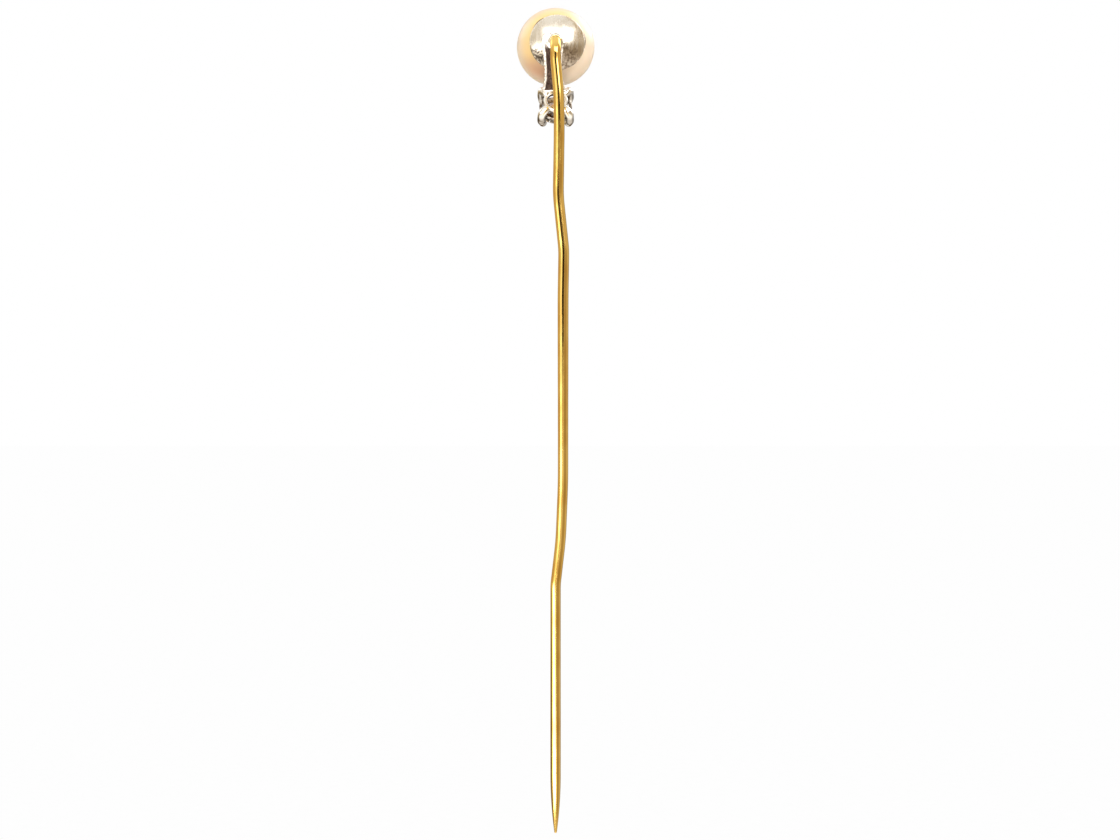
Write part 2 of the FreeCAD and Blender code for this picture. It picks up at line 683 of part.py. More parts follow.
def make_strap_blank():
    """The strap: an eye around the stem's root, a waist, and a flared foot, curved forward below the cup."""
    body = new_body("strap_blank")
    inner = f"({CUP_OUTSIDE} - pearl_setback - strap_seat)"
    outer = f"({inner} + strap_thickness)"
    turned = "(strap_bend_angle * 1 deg)"
    centre = f"({inner} - strap_bend_radius)"
    far = "(strap_bend_radius + strap_thickness)"
    side = new_sketch(body, "YZ_Plane", rise="strap_offset")
    outline(
        side,
        [
            (inner, f"head_height + eye_radius + {BLANK_MARGIN}"),
            (inner, "head_height", "strap_bend_radius", -1),
            (f"{centre} + strap_bend_radius * cos{turned}", f"head_height - strap_bend_radius * sin{turned}"),
            (f"{centre} + {far} * cos{turned}", f"head_height - {far} * sin{turned}", far, 1),
            (outer, "head_height"),
            (outer, f"head_height + eye_radius + {BLANK_MARGIN}"),
        ],
    )
    pad(body, side, f"2 * (foot_halfwidth + {BLANK_MARGIN})", both_ways=True)

    shape = new_sketch(body, "XZ_Plane")
    shoulder = "sqrt(eye_radius ^ 2 - eye_shoulder_drop ^ 2)"
    flares = []
    for sign in "-+":
        widening = f"({sign}(foot_offset - strap_offset) + foot_halfwidth - waist_halfwidth)"
        flares.append(f"((foot_drop - waist_drop) ^ 2 + {widening} ^ 2) / (2 * {widening})")
    outline(
        shape,
        [
            (f"strap_offset + {shoulder}", "head_height - eye_shoulder_drop", "eye_radius", 1),
            ("strap_offset", "head_height + eye_radius", "eye_radius", 1),
            (f"strap_offset - {shoulder}", "head_height - eye_shoulder_drop"),
            ("strap_offset - waist_halfwidth", "head_height - waist_drop", flares[0], -1),
            ("foot_offset - foot_halfwidth", "head_height - foot_drop"),
            ("foot_offset + foot_halfwidth", "head_height - foot_drop", flares[1], -1),
            ("strap_offset + waist_halfwidth", "head_height - waist_drop"),
        ],
    )
    side_edge = f"(foot_halfwidth + {CUTTER_MARGIN})"
    low_edge = f"head_height - foot_drop - {CUTTER_MARGIN}"
    high_edge = f"head_height + eye_radius + {CUTTER_MARGIN}"
    outline(
        shape,
        [
            (f"-{side_edge}", low_edge),
            (side_edge, low_edge),
            (side_edge, high_edge),
            (f"-{side_edge}", high_edge),
        ],
    )
    pocket_through(body, shape)
    return body


def make_collar_blank():
    """The raised ring of solder around the stem's root, hollow in section."""
    body = new_body("collar_blank")
    face = f"({CUP_OUTSIDE} - strap_seat + strap_thickness)"
    sketch = new_sketch(body, "XZ_Plane")
    outline(
        sketch,
        [
            ("0", f"{face} - strap_thickness / 2"),
            ("collar_radius", f"{face} - strap_thickness / 2"),
            ("collar_radius", f"{face} + collar_edge_rise", "collar_sweep", -1),
            ("root_diameter / 2", f"{face} + collar_rise"),
            ("0", f"{face} + collar_rise"),
        ],
    )
    revolve(body, sketch)
    return place(body, ("0", "-pearl_setback", "head_height - collar_drop"), FACING_BACK)


def make_seam_blank():
    """The bead of solder under the strap's foot."""
    bead = doc.addObject("Part::Cylinder", "seam_blank")
    bind(bead, "Radius", "seam_diameter / 2")
    bind(bead, "Height", "2 * seam_halflength")
    back = "-setting_setback - seam_diameter / 4"
    lowered = "head_height - foot_drop - seam_drop"
    return place(bead, ("foot_offset - seam_halflength", back, lowered), ("0; 1; 0", "90"))


# ---------------------------------------------------------------------------------------------------
# Assembly
# ---------------------------------------------------------------------------------------------------

pin_stem = make_pin_stem()
pearl = make_pearl()
pearl_cup = cut("pearl_cup", make_cup_blank(), pin_stem)
pearl_peg = make_peg()
pearl_cement = cut("pearl_cement", make_cement_blank(), pearl_peg, pin_stem)
base_rail = make_base_rail()
gallery_rail = make_gallery_rail()
diamond = make_diamond()
claws = [
    cut(label, make_claw_blank(label, azimuth), base_rail, gallery_rail, diamond)
    for label, azimuth in CLAWS.items()
]
hanger_strap = cut("hanger_strap", make_strap_blank(), pearl_cup, pin_stem, base_rail, *claws[:2])
root_solder = cut("root_solder", make_collar_blank(), hanger_strap, pin_stem, pearl_cup)
foot_solder = cut("foot_solder", make_seam_blank(), hanger_strap, base_rail, *claws[:2])

pieces = [
    pin_stem, pearl, pearl_cup, pearl_peg, pearl_cement, hanger_strap, root_solder, foot_solder,
    base_rail, gallery_rail, diamond, *claws,
]

# ---------------------------------------------------------------------------------------------------
# Checks and export
# ---------------------------------------------------------------------------------------------------

doc.recompute()
for thing in doc.Objects:
    if {"Invalid", "Error"} & set(thing.State):
        raise RuntimeError(f"{thing.Label} did not build: {thing.State}")
for piece in pieces:
    if piece.Shape.isNull() or not piece.Shape.isValid() or not piece.Shape.Solids:
        raise RuntimeError(f"{piece.Label} has no valid solid")
for number, one in enumerate(pieces):
    for other in pieces[number + 1 :]:
        if one.Shape.BoundBox.intersect(other.Shape.BoundBox):
            shared = one.Shape.common(other.Shape).Volume
            if shared > TOLERANCE_MM3:
                raise RuntimeError(f"{one.Label} and {other.Label} share {shared:.5f} mm3")

os.makedirs("parts", exist_ok=True)
for piece in pieces:
    piece.Shape.exportStep(f"parts/{piece.Label}.step")
    box = piece.Shape.BoundBox
    print(
        f"{piece.Label:18s} solids {len(piece.Shape.Solids)}  volume {piece.Shape.Volume:9.4f}  "
        f"x {box.XMin:7.3f} {box.XMax:7.3f}  y {box.YMin:7.3f} {box.YMax:7.3f}  z {box.ZMin:7.3f} {box.ZMax:7.3f}"
    )
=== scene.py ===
import math

import bmesh
import bpy
from mathutils import Matrix, Vector, noise


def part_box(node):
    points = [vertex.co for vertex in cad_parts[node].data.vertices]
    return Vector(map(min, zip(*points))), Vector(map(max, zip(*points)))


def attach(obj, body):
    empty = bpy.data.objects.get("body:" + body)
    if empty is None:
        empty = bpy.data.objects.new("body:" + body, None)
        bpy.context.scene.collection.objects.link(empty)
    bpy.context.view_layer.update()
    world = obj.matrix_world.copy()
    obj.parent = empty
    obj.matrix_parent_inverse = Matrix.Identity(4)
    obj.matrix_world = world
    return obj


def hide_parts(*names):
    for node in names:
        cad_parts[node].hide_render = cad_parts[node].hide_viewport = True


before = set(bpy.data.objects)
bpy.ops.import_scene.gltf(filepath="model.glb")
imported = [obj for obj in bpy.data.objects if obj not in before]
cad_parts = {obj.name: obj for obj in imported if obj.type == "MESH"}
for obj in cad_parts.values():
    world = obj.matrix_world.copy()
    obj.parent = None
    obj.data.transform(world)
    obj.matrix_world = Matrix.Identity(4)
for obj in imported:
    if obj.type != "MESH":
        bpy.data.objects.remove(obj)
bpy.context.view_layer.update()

# A stick pin: a pearl in a domed white-metal cup, a small claw-set diamond hung below it on a strap, and a
# kinked gold wire stem that leaves the back of the cup and ends in a point.
#
# Sizes are in millimetres, and each piece is scaled to metres when it is finished. The origin is the tip of
# the point, +Z runs up the shank, and the decorated front faces -Y, so the cup, strap and stem are at +Y.

MM = 0.001


def node_box(node):
    """The lowest and highest corners of a CAD node, in millimetres."""
    low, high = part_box(node)
    return low / MM, high / MM


# ----------------------------------------------------------------------------------------------------
# Camera
# ----------------------------------------------------------------------------------------------------

CAMERA_DISTANCE = 200.0  # behind the shank
CAMERA_SIDE = -0.339
CAMERA_HEIGHT = 31.80
LENS = 83.5


def set_camera():
    """Level, straight at the back of the pin, through a long lens."""
    data = bpy.data.cameras.new("camera")
    data.lens = LENS
    data.sensor_width = 36.0
    data.clip_start = 0.01
    data.clip_end = 20.0
    camera = bpy.data.objects.new("camera", data)
    camera.location = Vector((CAMERA_SIDE, CAMERA_DISTANCE, CAMERA_HEIGHT)) * MM
    camera.rotation_euler = (math.radians(90), 0, math.radians(180))
    bpy.context.scene.collection.objects.link(camera)
    bpy.context.scene.camera = camera
    bpy.context.scene.view_settings.view_transform = "Standard"


set_camera()

# ----------------------------------------------------------------------------------------------------
# Driving sizes
# ----------------------------------------------------------------------------------------------------

pearl_low, pearl_high = node_box("pearl")
PEARL_RADIUS = (pearl_high.x - pearl_low.x) / 2
PEARL_CENTRE = Vector((0, pearl_low.y + PEARL_RADIUS, (pearl_low.z + pearl_high.z) / 2))
DRILL_RADIUS = 0.42
DRILL_DEPTH = 4.0
PEG_RADIUS = 0.35
PEG_LENGTH = 3.85
PEG_GROOVES = [0.20 + 0.90 * number for number in (1, 2, 3)]  # below the peg's outer end
PEG_GROOVE_DEPTH = 0.08
PEG_GROOVE_WIDTH = 0.30

CUP_INSIDE = PEARL_RADIUS + 0.08
CUP_OUTSIDE = CUP_INSIDE + 0.30
CUP_ANGLE = math.radians(39.5)  # from the cup's pole to its rim
CUP_TURN = math.radians(2.8)  # the cup sits slightly turned on the pearl
RIM_ROUNDING = 0.07
RIM_SHADOW_REACH = 7.0  # degrees past the rim, most of it hidden behind the rim's edge
RIM_SHADOW_PLACES = [(-48, 18), (189, 20)]  # where the cement is carried past the rim as a dark line standing in for the shadow gap: azimuth and spread, in degrees

WIRE_RADIUS = 0.40
UPPER_WIRE_RADIUS = 0.42
ROOT_RADIUS = 0.46
ROOT_END = math.sqrt(CUP_INSIDE**2 - ROOT_RADIUS**2)  # from the pearl's centre to the wire's end
TOP_BEND_RADIUS = 1.10
POINT_LENGTH = 4.60
TIP_RADIUS = 0.10
THIN_HEIGHT = 30.0  # the wire grows from here
THICK_HEIGHT = 40.0  # to here

# Each bend of the stem between its straight runs: sideways offset, height and bend radius.
STEM_BENDS = [
    (0.0, 19.15, 5.0),
    (-0.40, 22.60, 25.0),
    (-0.575, 27.0, 60.0),
    (-0.575, 41.2, 40.0),
    (-0.635, 44.9, 9.0),
    (-0.205, 49.1, 12.0),
    (-0.285, 54.4, 60.0),
    (-0.24, 57.0, 16.0),
    (0.0, 59.6, 5.0),
]

EYE_RADIUS = 0.87
EYE_SHOULDER = 0.30  # below the eye's centre
STRAP_OFFSET = 0.20
STRAP_THICKNESS = 0.35
STRAP_BEND_RADIUS = 6.10
STRAP_SEAT = 0.15  # how deep the cup dishes the strap's eye
WAIST_HALFWIDTH = 0.65
WAIST_DROP = 2.30
FOOT_HALFWIDTH = 1.02
FOOT_OFFSET = 0.04
FOOT_DROP = 3.72
BRIGHT_EDGE_WIDTH = 0.28

rail_low, rail_high = node_box("base_rail")
SETTING_CENTRE = (rail_low + rail_high) / 2
SETTING_TILT = math.radians(27)  # the stone faces forward and down
RAIL_INNER = 0.65
RAIL_OUTER = 0.94
RAIL_THICKNESS = 0.34
GALLERY_RADIUS = 1.16
GALLERY_WIRE = 0.12
GALLERY_RISE = 0.72
CLAW_RADIUS = 0.32
CLAW_START = (0.88, 0)  # out from the setting's axis, and forward
CLAW_BENDS = [(1.53, 0, 0.42), (1.57, 1.05, 0.80)]  # the elbow and the lean over the stone, with bend radii
CLAW_END = (1.42, 1.46)
STONE_RADIUS = 1.25
GIRDLE_RISE = 1.22
GIRDLE_TOP = GIRDLE_RISE + 0.06

FACING_BACK = Matrix.Translation(PEARL_CENTRE) @ Matrix.Rotation(math.radians(-90), 4, "X")
FACING_FRONT = Matrix.Translation(SETTING_CENTRE) @ Matrix.Rotation(math.radians(90) + SETTING_TILT, 4, "X")

# ----------------------------------------------------------------------------------------------------
# Node helpers
# ----------------------------------------------------------------------------------------------------


def add(tree, kind, **values):
    """Add a node. Values set its properties or, where an input has that name, that input."""
    node = tree.nodes.new(kind)
    for name, value in values.items():
        title = name.replace("_", " ").title()
        if hasattr(node, name):
            setattr(node, name, value)
        else:
            node.inputs[title].default_value = value
    return node


def join(tree, source, target):
    tree.links.new(source, target)


def calculate(tree, operation, *values):
    """A Math node's output. Each value is a number or another node's output."""
    node = add(tree, "ShaderNodeMath", operation=operation)
    for socket, value in zip(node.inputs, values):
        if isinstance(value, (int, float)):
            socket.default_value = value
        else:
            join(tree, value, socket)
    return node.outputs[0]


def between(tree, value, low, high, low_out=0.0, high_out=1.0):
    """Ease a value from low_out to high_out while it goes from low to high, which may be a way down."""
    node = add(tree, "ShaderNodeMapRange", interpolation_type="SMOOTHSTEP")
    join(tree, value, node.inputs["Value"])
    for name, number in (("From Min", low), ("From Max", high), ("To Min", low_out), ("To Max", high_out)):
        node.inputs[name].default_value = number
    return node.outputs["Result"]


def blend_colours(tree, share, first, second):
    """Mix two colours, each a tuple or an output, by a number or an output."""
    node = add(tree, "ShaderNodeMix", data_type="RGBA")
    for socket, value in ((node.inputs[0], share), (node.inputs[6], first), (node.inputs[7], second)):
        if isinstance(value, tuple):
            socket.default_value = (*value, 1.0)
        elif isinstance(value, (int, float)):
            socket.default_value = value
        else:
            join(tree, value, socket)
    return node.outputs[2]


# ----------------------------------------------------------------------------------------------------
# Studio
# ----------------------------------------------------------------------------------------------------

FLOOR_GAP = 0.02  # between the point and the floor
BEHIND, IN_FRONT = 1, -1
ROOM = (0.84, 0.76, 0.62)
SHADED_ROOM = (0.68, 0.57, 0.42)
FRONT_ROOM = (0.46, 0.43, 0.39)
CEILING = (0.95, 0.90, 0.80)
FLOOR_LIGHT = (1.25, 1.18, 1.05)
WOOD = (0.60, 0.47, 0.30)
FLAG = (0.03, 0.02, 0.01)

# Soft boxes, boards and dark flags round the pin, seen only in reflections and as light. Each has the side it
# is on, its span across (+X is one) and up, its soft edge and its colour. A later one hides an earlier one.
STUDIO = [
    (BEHIND, (0.48, 0.86), (-0.01, 0.100), 0.02, (1.35, 1.3, 1.1)),
    (BEHIND, (0.42, 0.86), (0.096, 0.111), 0.005, (2.7, 2.6, 2.3)),
    (BEHIND, (0.46, 0.90), (-0.16, -0.01), 0.03, (4.6, 4.6, 4.4)),
    (BEHIND, (0.20, 0.86), (-0.22, -0.065), 0.025, (6.0, 6.0, 5.8)),
    (BEHIND, (-0.14, 0.80), (-0.30, -0.115), 0.02, (6.0, 6.0, 5.6)),
    (BEHIND, (0.95, 1.30), (-0.30, 0.14), 0.03, WOOD),
    (IN_FRONT, (0.30, 1.30), (-0.30, 0.20), 0.05, WOOD),
    (BEHIND, (0.93, 1.30), (-0.40, -0.09), 0.02, (0.26, 0.20, 0.10)),
    (IN_FRONT, (0.50, 1.30), (-0.40, -0.07), 0.03, (0.24, 0.18, 0.09)),
    (BEHIND, (-0.66, 0.12), (0.20, 0.60), 0.09, (5.6, 5.5, 5.3)),
    (BEHIND, (-0.20, 0.46), (0.30, 0.62), 0.12, (4.6, 4.5, 4.4)),
    (BEHIND, (-0.98, -0.72), (0.20, 0.70), 0.10, (0.50, 0.38, 0.24)),
    (BEHIND, (-0.98, -0.34), (-0.32, 0.115), 0.03, (0.44, 0.34, 0.21)),
    (BEHIND, (-0.28, 0.45), (0.020, 0.096), 0.012, FLAG),
    (BEHIND, (-0.48, 0.40), (0.109, 0.140), 0.006, FLAG),
    (BEHIND, (-0.22, 0.30), (0.130, 0.210), 0.015, FLAG),
    (BEHIND, (-0.62, -0.36), (0.162, 0.260), 0.012, (5.0, 5.0, 4.8)),
    (IN_FRONT, (-0.80, -0.30), (0.25, 0.75), 0.10, (4.0, 3.95, 3.85)),
    (IN_FRONT, (0.45, 0.85), (0.28, 0.70), 0.08, (1.6, 1.55, 1.45)),
    (IN_FRONT, (-0.40, 0.40), (-0.60, -0.15), 0.08, (0.15, 0.10, 0.05)),
]


def light_studio():
    """White behind the pin for the camera, and a studio of soft boxes for light and reflections."""
    world = bpy.data.worlds.new("studio")
    bpy.context.scene.world = world
    world.use_nodes = True
    tree = world.node_tree
    tree.nodes.clear()
    direction = add(tree, "ShaderNodeTexCoord").outputs["Generated"]
    split = add(tree, "ShaderNodeSeparateXYZ")
    join(tree, direction, split.inputs[0])
    across, back, up = split.outputs
    colour = blend_colours(tree, between(tree, across, 0.5, -0.7), ROOM, SHADED_ROOM)
    colour = blend_colours(tree, between(tree, back, -0.15, -0.65), colour, FRONT_ROOM)
    colour = blend_colours(tree, between(tree, up, 0.55, 0.95), colour, CEILING)
    colour = blend_colours(tree, between(tree, up, -0.40, -0.80), colour, FLOOR_LIGHT)
    for side, span, rise, soft, tint in STUDIO:
        mask = between(tree, back, 0.0, 0.1 * side)
        for value, (low, high) in ((across, span), (up, rise)):
            mask = calculate(tree, "MULTIPLY", mask, between(tree, value, low - soft, low + soft))
            mask = calculate(tree, "MULTIPLY", mask, between(tree, value, high + soft, high - soft))
        colour = blend_colours(tree, mask, colour, tint)
    seen = add(tree, "ShaderNodeLightPath").outputs["Is Camera Ray"]
    colour = blend_colours(tree, seen, colour, (1.0, 1.0, 1.0))
    background = add(tree, "ShaderNodeBackground")
    join(tree, colour, background.inputs["Color"])
    output = add(tree, "ShaderNodeOutputWorld")
    join(tree, background.outputs[0], output.inputs["Surface"])


def new_material(name):
    """An empty material and its Principled shader."""
    material = bpy.data.materials.new(name)
    material.use_nodes = True
    tree = material.node_tree
    tree.nodes.clear()
    shader = add(tree, "ShaderNodeBsdfPrincipled")
    output = add(tree, "ShaderNodeOutputMaterial")
    join(tree, shader.outputs[0], output.inputs["Surface"])
    return material, tree, shader


def lay_floor():
    """A plain white sheet just below the point, as white to the camera as the studio is."""
    material, tree, shader = new_material("white_sheet")
    coordinates = add(tree, "ShaderNodeTexCoord").outputs["Object"]
    texture = add(tree, "ShaderNodeTexNoise", scale=900.0, detail=4.0)
    join(tree, coordinates, texture.inputs["Vector"])
    fibres = texture.outputs["Fac"]
    colour = blend_colours(tree, fibres, (0.78, 0.77, 0.75), (0.84, 0.83, 0.81))
    glow = blend_colours(tree, fibres, (0.98, 0.98, 0.98), (1.0, 1.0, 1.0))
    seen = add(tree, "ShaderNodeLightPath").outputs["Is Camera Ray"]
    join(tree, blend_colours(tree, seen, colour, (0.0, 0.0, 0.0)), shader.inputs["Base Color"])
    join(tree, glow, shader.inputs["Emission Color"])
    join(tree, seen, shader.inputs["Emission Strength"])
    shader.inputs["Specular IOR Level"].default_value = 0.0
    shader.inputs["Roughness"].default_value = 0.9
    mesh = bpy.data.meshes.new("floor")
    half = 3.0  # metres
    corners = [(-half, -half, 0), (half, -half, 0), (half, half, 0), (-half, half, 0)]
    mesh.from_pydata(corners, [], [(0, 1, 2, 3)])
    mesh.materials.append(material)
    floor = bpy.data.objects.new("floor", mesh)
    floor.location.z = -FLOOR_GAP * MM
    floor.visible_glossy = False
    bpy.context.scene.collection.objects.link(floor)


light_studio()
lay_floor()

# ----------------------------------------------------------------------------------------------------
# Shared surface effects
# ----------------------------------------------------------------------------------------------------


def start_group(name, inputs, outputs):
    """A shader node group with float inputs (name: default) and float outputs."""
    group = bpy.data.node_groups.new(name, "ShaderNodeTree")
    for title, default in inputs.items():
        socket = group.interface.new_socket(name=title, in_out="INPUT", socket_type="NodeSocketFloat")
        socket.default_value = default
    for title in outputs:
        group.interface.new_socket(name=title, in_out="OUTPUT", socket_type="NodeSocketFloat")
    return group, add(group, "NodeGroupInput").outputs, add(group, "NodeGroupOutput").inputs


def noise_at(tree, scale, detail=3.0, stretch=None, roughness=0.5):
    """Noise over the piece, its scale in features per metre, perhaps stretched along an axis."""
    coordinates = add(tree, "ShaderNodeTexCoord").outputs["Object"]
    if stretch:
        mapping = add(tree, "ShaderNodeMapping")
        mapping.inputs["Scale"].default_value = stretch
        join(tree, coordinates, mapping.inputs["Vector"])
        coordinates = mapping.outputs[0]
    texture = add(tree, "ShaderNodeTexNoise", detail=detail, roughness=roughness)
    join(tree, coordinates, texture.inputs["Vector"])
    if isinstance(scale, (int, float)):
        texture.inputs["Scale"].default_value = scale
    else:
        join(tree, scale, texture.inputs["Scale"])
    return texture.outputs["Fac"]


def make_hand_polish():
    """Old hand polish: a soft unevenness, fine rubbing marks along the piece, and a slow drift of tone."""
    group, given, result = start_group(
        "hand_polish", {"Unevenness": 1.0, "Rubbing": 1.0}, ("Height", "Marks", "Tone")
    )
    uneven = noise_at(group, 900.0, detail=2.0)
    rubbed = noise_at(group, 5200.0, detail=4.0, stretch=(1.0, 1.0, 0.12))
    swell = calculate(group, "MULTIPLY", uneven, given["Unevenness"])
    scratches = calculate(group, "MULTIPLY", calculate(group, "MULTIPLY", rubbed, 0.06), given["Rubbing"])
    join(group, calculate(group, "ADD", swell, scratches), result["Height"])
    join(group, between(group, rubbed, 0.42, 0.72), result["Marks"])
    join(group, between(group, noise_at(group, 420.0, detail=3.0), 0.35, 0.68), result["Tone"])
    return group


def make_pitting():
    """Small pits and dark tarnish that gathers in them."""
    group, given, result = start_group("pitting", {"Scale": 9000.0}, ("Pits", "Tarnish"))
    pits = noise_at(group, given["Scale"], detail=5.0, roughness=0.65)
    join(group, between(group, pits, 0.40, 0.62), result["Pits"])
    broad = noise_at(group, 1500.0, detail=4.0)
    join(group, between(group, broad, 0.42, 0.66), result["Tarnish"])
    return group


def make_setting_position():
    """How far forward of the base rail a place is, and how far out from its axis, in millimetres."""
    group, _, result = start_group("setting_position", {}, ("Depth", "Out"))
    moved = add(group, "ShaderNodeVectorMath", operation="SUBTRACT")
    join(group, add(group, "ShaderNodeTexCoord").outputs["Object"], moved.inputs[0])
    moved.inputs[1].default_value = SETTING_CENTRE * MM
    depth = add(group, "ShaderNodeVectorMath", operation="DOT_PRODUCT")
    join(group, moved.outputs[0], depth.inputs[0])
    depth.inputs[1].default_value = FACING_FRONT.to_3x3() @ Vector((0, 0, 1 / MM))
    length = add(group, "ShaderNodeVectorMath", operation="LENGTH")
    join(group, moved.outputs[0], length.inputs[0])
    reach = calculate(group, "DIVIDE", length.outputs["Value"], MM)
    squares = [calculate(group, "MULTIPLY", value, value) for value in (reach, depth.outputs["Value"])]
    join(group, depth.outputs["Value"], result["Depth"])
    join(group, calculate(group, "SQRT", calculate(group, "SUBTRACT", *squares)), result["Out"])
    return group


def make_pearl_position():
    """Where a place is from the pearl's centre, in millimetres."""
    group, _, result = start_group("pearl_position", {}, ("Across", "Back", "Up"))
    moved = add(group, "ShaderNodeVectorMath", operation="SUBTRACT")
    join(group, add(group, "ShaderNodeTexCoord").outputs["Object"], moved.inputs[0])
    moved.inputs[1].default_value = PEARL_CENTRE * MM
    split = add(group, "ShaderNodeSeparateXYZ")
    join(group, moved.outputs[0], split.inputs[0])
    for source, title in zip(split.outputs, ("Across", "Back", "Up")):
        join(group, calculate(group, "DIVIDE", source, MM), result[title])
    return group


HAND_POLISH = make_hand_polish()
PITTING = make_pitting()
PEARL_POSITION = make_pearl_position()
SETTING_POSITION = make_setting_position()


def place_group(tree, group, **inputs):
    """Put a group in a tree with its own values, and give back its outputs."""
    node = add(tree, "ShaderNodeGroup", node_tree=group)
    for title, value in inputs.items():
        node.inputs[title].default_value = value
    return node.outputs


def bump(tree, shader, height, distance, strength=1.0):
    """Shade a surface as if raised by a height times a distance in millimetres."""
    node = add(tree, "ShaderNodeBump")
    node.inputs["Strength"].default_value = strength
    node.inputs["Distance"].default_value = distance * MM
    join(tree, height, node.inputs["Height"])
    join(tree, node.outputs[0], shader.inputs["Normal"])


def metal(name, bright, dull, roughness, rubbed_roughness, unevenness, rubbing, height):
    """A polished metal and its tone, which drifts between two colours. Rubbing marks roughen it."""
    material, tree, shader = new_material(name)
    polish = place_group(tree, HAND_POLISH, Unevenness=unevenness, Rubbing=rubbing)
    tone = blend_colours(tree, polish["Tone"], bright, dull)
    join(tree, tone, shader.inputs["Base Color"])
    rough = between(tree, polish["Marks"], 0.0, 1.0, roughness, rubbed_roughness)
    join(tree, rough, shader.inputs["Roughness"])
    shader.inputs["Metallic"].default_value = 1.0
    bump(tree, shader, polish["Height"], height)
    return material, tree, shader, tone


def make_yellow_gold():
    """Polished yellow gold wire, redder where its alloy shows."""
    return metal("yellow_gold", (0.96, 0.68, 0.21), (0.84, 0.53, 0.14), 0.06, 0.14, 0.12, 1.0, 0.010)[0]


def make_platinum():
    """Polished platinum with a faint warmth."""
    return metal("platinum", (0.93, 0.91, 0.88), (0.78, 0.74, 0.69), 0.08, 0.17, 1.3, 0.6, 0.03)[0]


def make_setting_platinum():
    """The setting's platinum, with painted shade inside the rail and up to the stone, made patchy by tarnish.
    """
    bright, dull = (0.98, 0.96, 0.93), (0.86, 0.83, 0.79)
    material, tree, shader, tone = metal("setting_platinum", bright, dull, 0.10, 0.19, 1.3, 0.6, 0.03)
    pitting = place_group(tree, PITTING, Scale=4200.0)
    place = place_group(tree, SETTING_POSITION)
    depth = place["Depth"]
    # Painted shade: darker part way forward towards the stone, where the claws and gallery shade the setting,
    # and on the rail's inner wall.
    shaded_depth = calculate(tree, "MULTIPLY", between(tree, depth, 0.10, 0.65), between(tree, depth, 1.3, 0.95))
    inner_wall = between(tree, place["Out"], 0.76, 0.67)
    inside = calculate(tree, "MULTIPLY", inner_wall, between(tree, depth, -0.15, 0.0))
    patchy = between(tree, pitting["Tarnish"], 0.0, 1.0, 0.55, 1.0)
    # The painted shade, patchy with tarnish, darkens the metal's tone.
    painted_shade = calculate(tree, "MULTIPLY", calculate(tree, "MAXIMUM", shaded_depth, inside), patchy)
    join(tree, blend_colours(tree, painted_shade, tone, (0.12, 0.075, 0.035)), shader.inputs["Base Color"])
    return material


def make_solder():
    """Bright solder that has flowed and not been polished flat."""
    return metal("solder", (0.90, 0.88, 0.85), (0.70, 0.66, 0.61), 0.14, 0.26, 1.6, 0.4, 0.03)[0]


def make_satin_platinum():
    """The cup's satin platinum, with a painted dark, mottled reflection of the strap beside it, a painted
    brown reflection of the gold stem low on the -X side, and brown flux stains on one upper side.
    """
    bright, dull = (0.88, 0.84, 0.78), (0.74, 0.68, 0.60)
    material, tree, shader, tone = metal("satin_platinum", bright, dull, 0.24, 0.34, 1.0, 0.5, 0.02)
    place = place_group(tree, PEARL_POSITION)
    across, up = place["Across"], place["Up"]
    pitting = place_group(tree, PITTING, Scale=5200.0)
    # Painted reflections, low on the cup: a dark, mottled one of the strap beside it and a brown one of the
    # gold stem towards -X.
    low = between(tree, up, -0.05, -0.75)
    beside = calculate(tree, "ABSOLUTE", calculate(tree, "SUBTRACT", across, STRAP_OFFSET))
    strap_reflection = calculate(tree, "MULTIPLY", low, between(tree, beside, 2.4, 1.3))
    colour = blend_colours(tree, calculate(tree, "MULTIPLY", strap_reflection, 0.55), tone, (0.40, 0.33, 0.26))
    strap_reflection_specks = calculate(tree, "MULTIPLY", strap_reflection, pitting["Pits"])
    colour = blend_colours(tree, strap_reflection_specks, colour, (0.07, 0.05, 0.04))
    # Painted brown reflection of the gold stem, low on the -X side.
    shade = calculate(tree, "MULTIPLY", low, between(tree, across, 0.0, -0.8, 0.0, 0.35))
    colour = blend_colours(tree, shade, colour, (0.42, 0.30, 0.20))
    corner = calculate(tree, "MULTIPLY", between(tree, across, -0.1, -1.1), between(tree, up, 0.1, 0.9))
    patches = between(tree, noise_at(tree, 800.0, detail=5.0), 0.45, 0.62, 0.0, 0.6)
    colour = blend_colours(tree, calculate(tree, "MULTIPLY", corner, patches), colour, (0.56, 0.42, 0.24))
    join(tree, colour, shader.inputs["Base Color"])
    return material


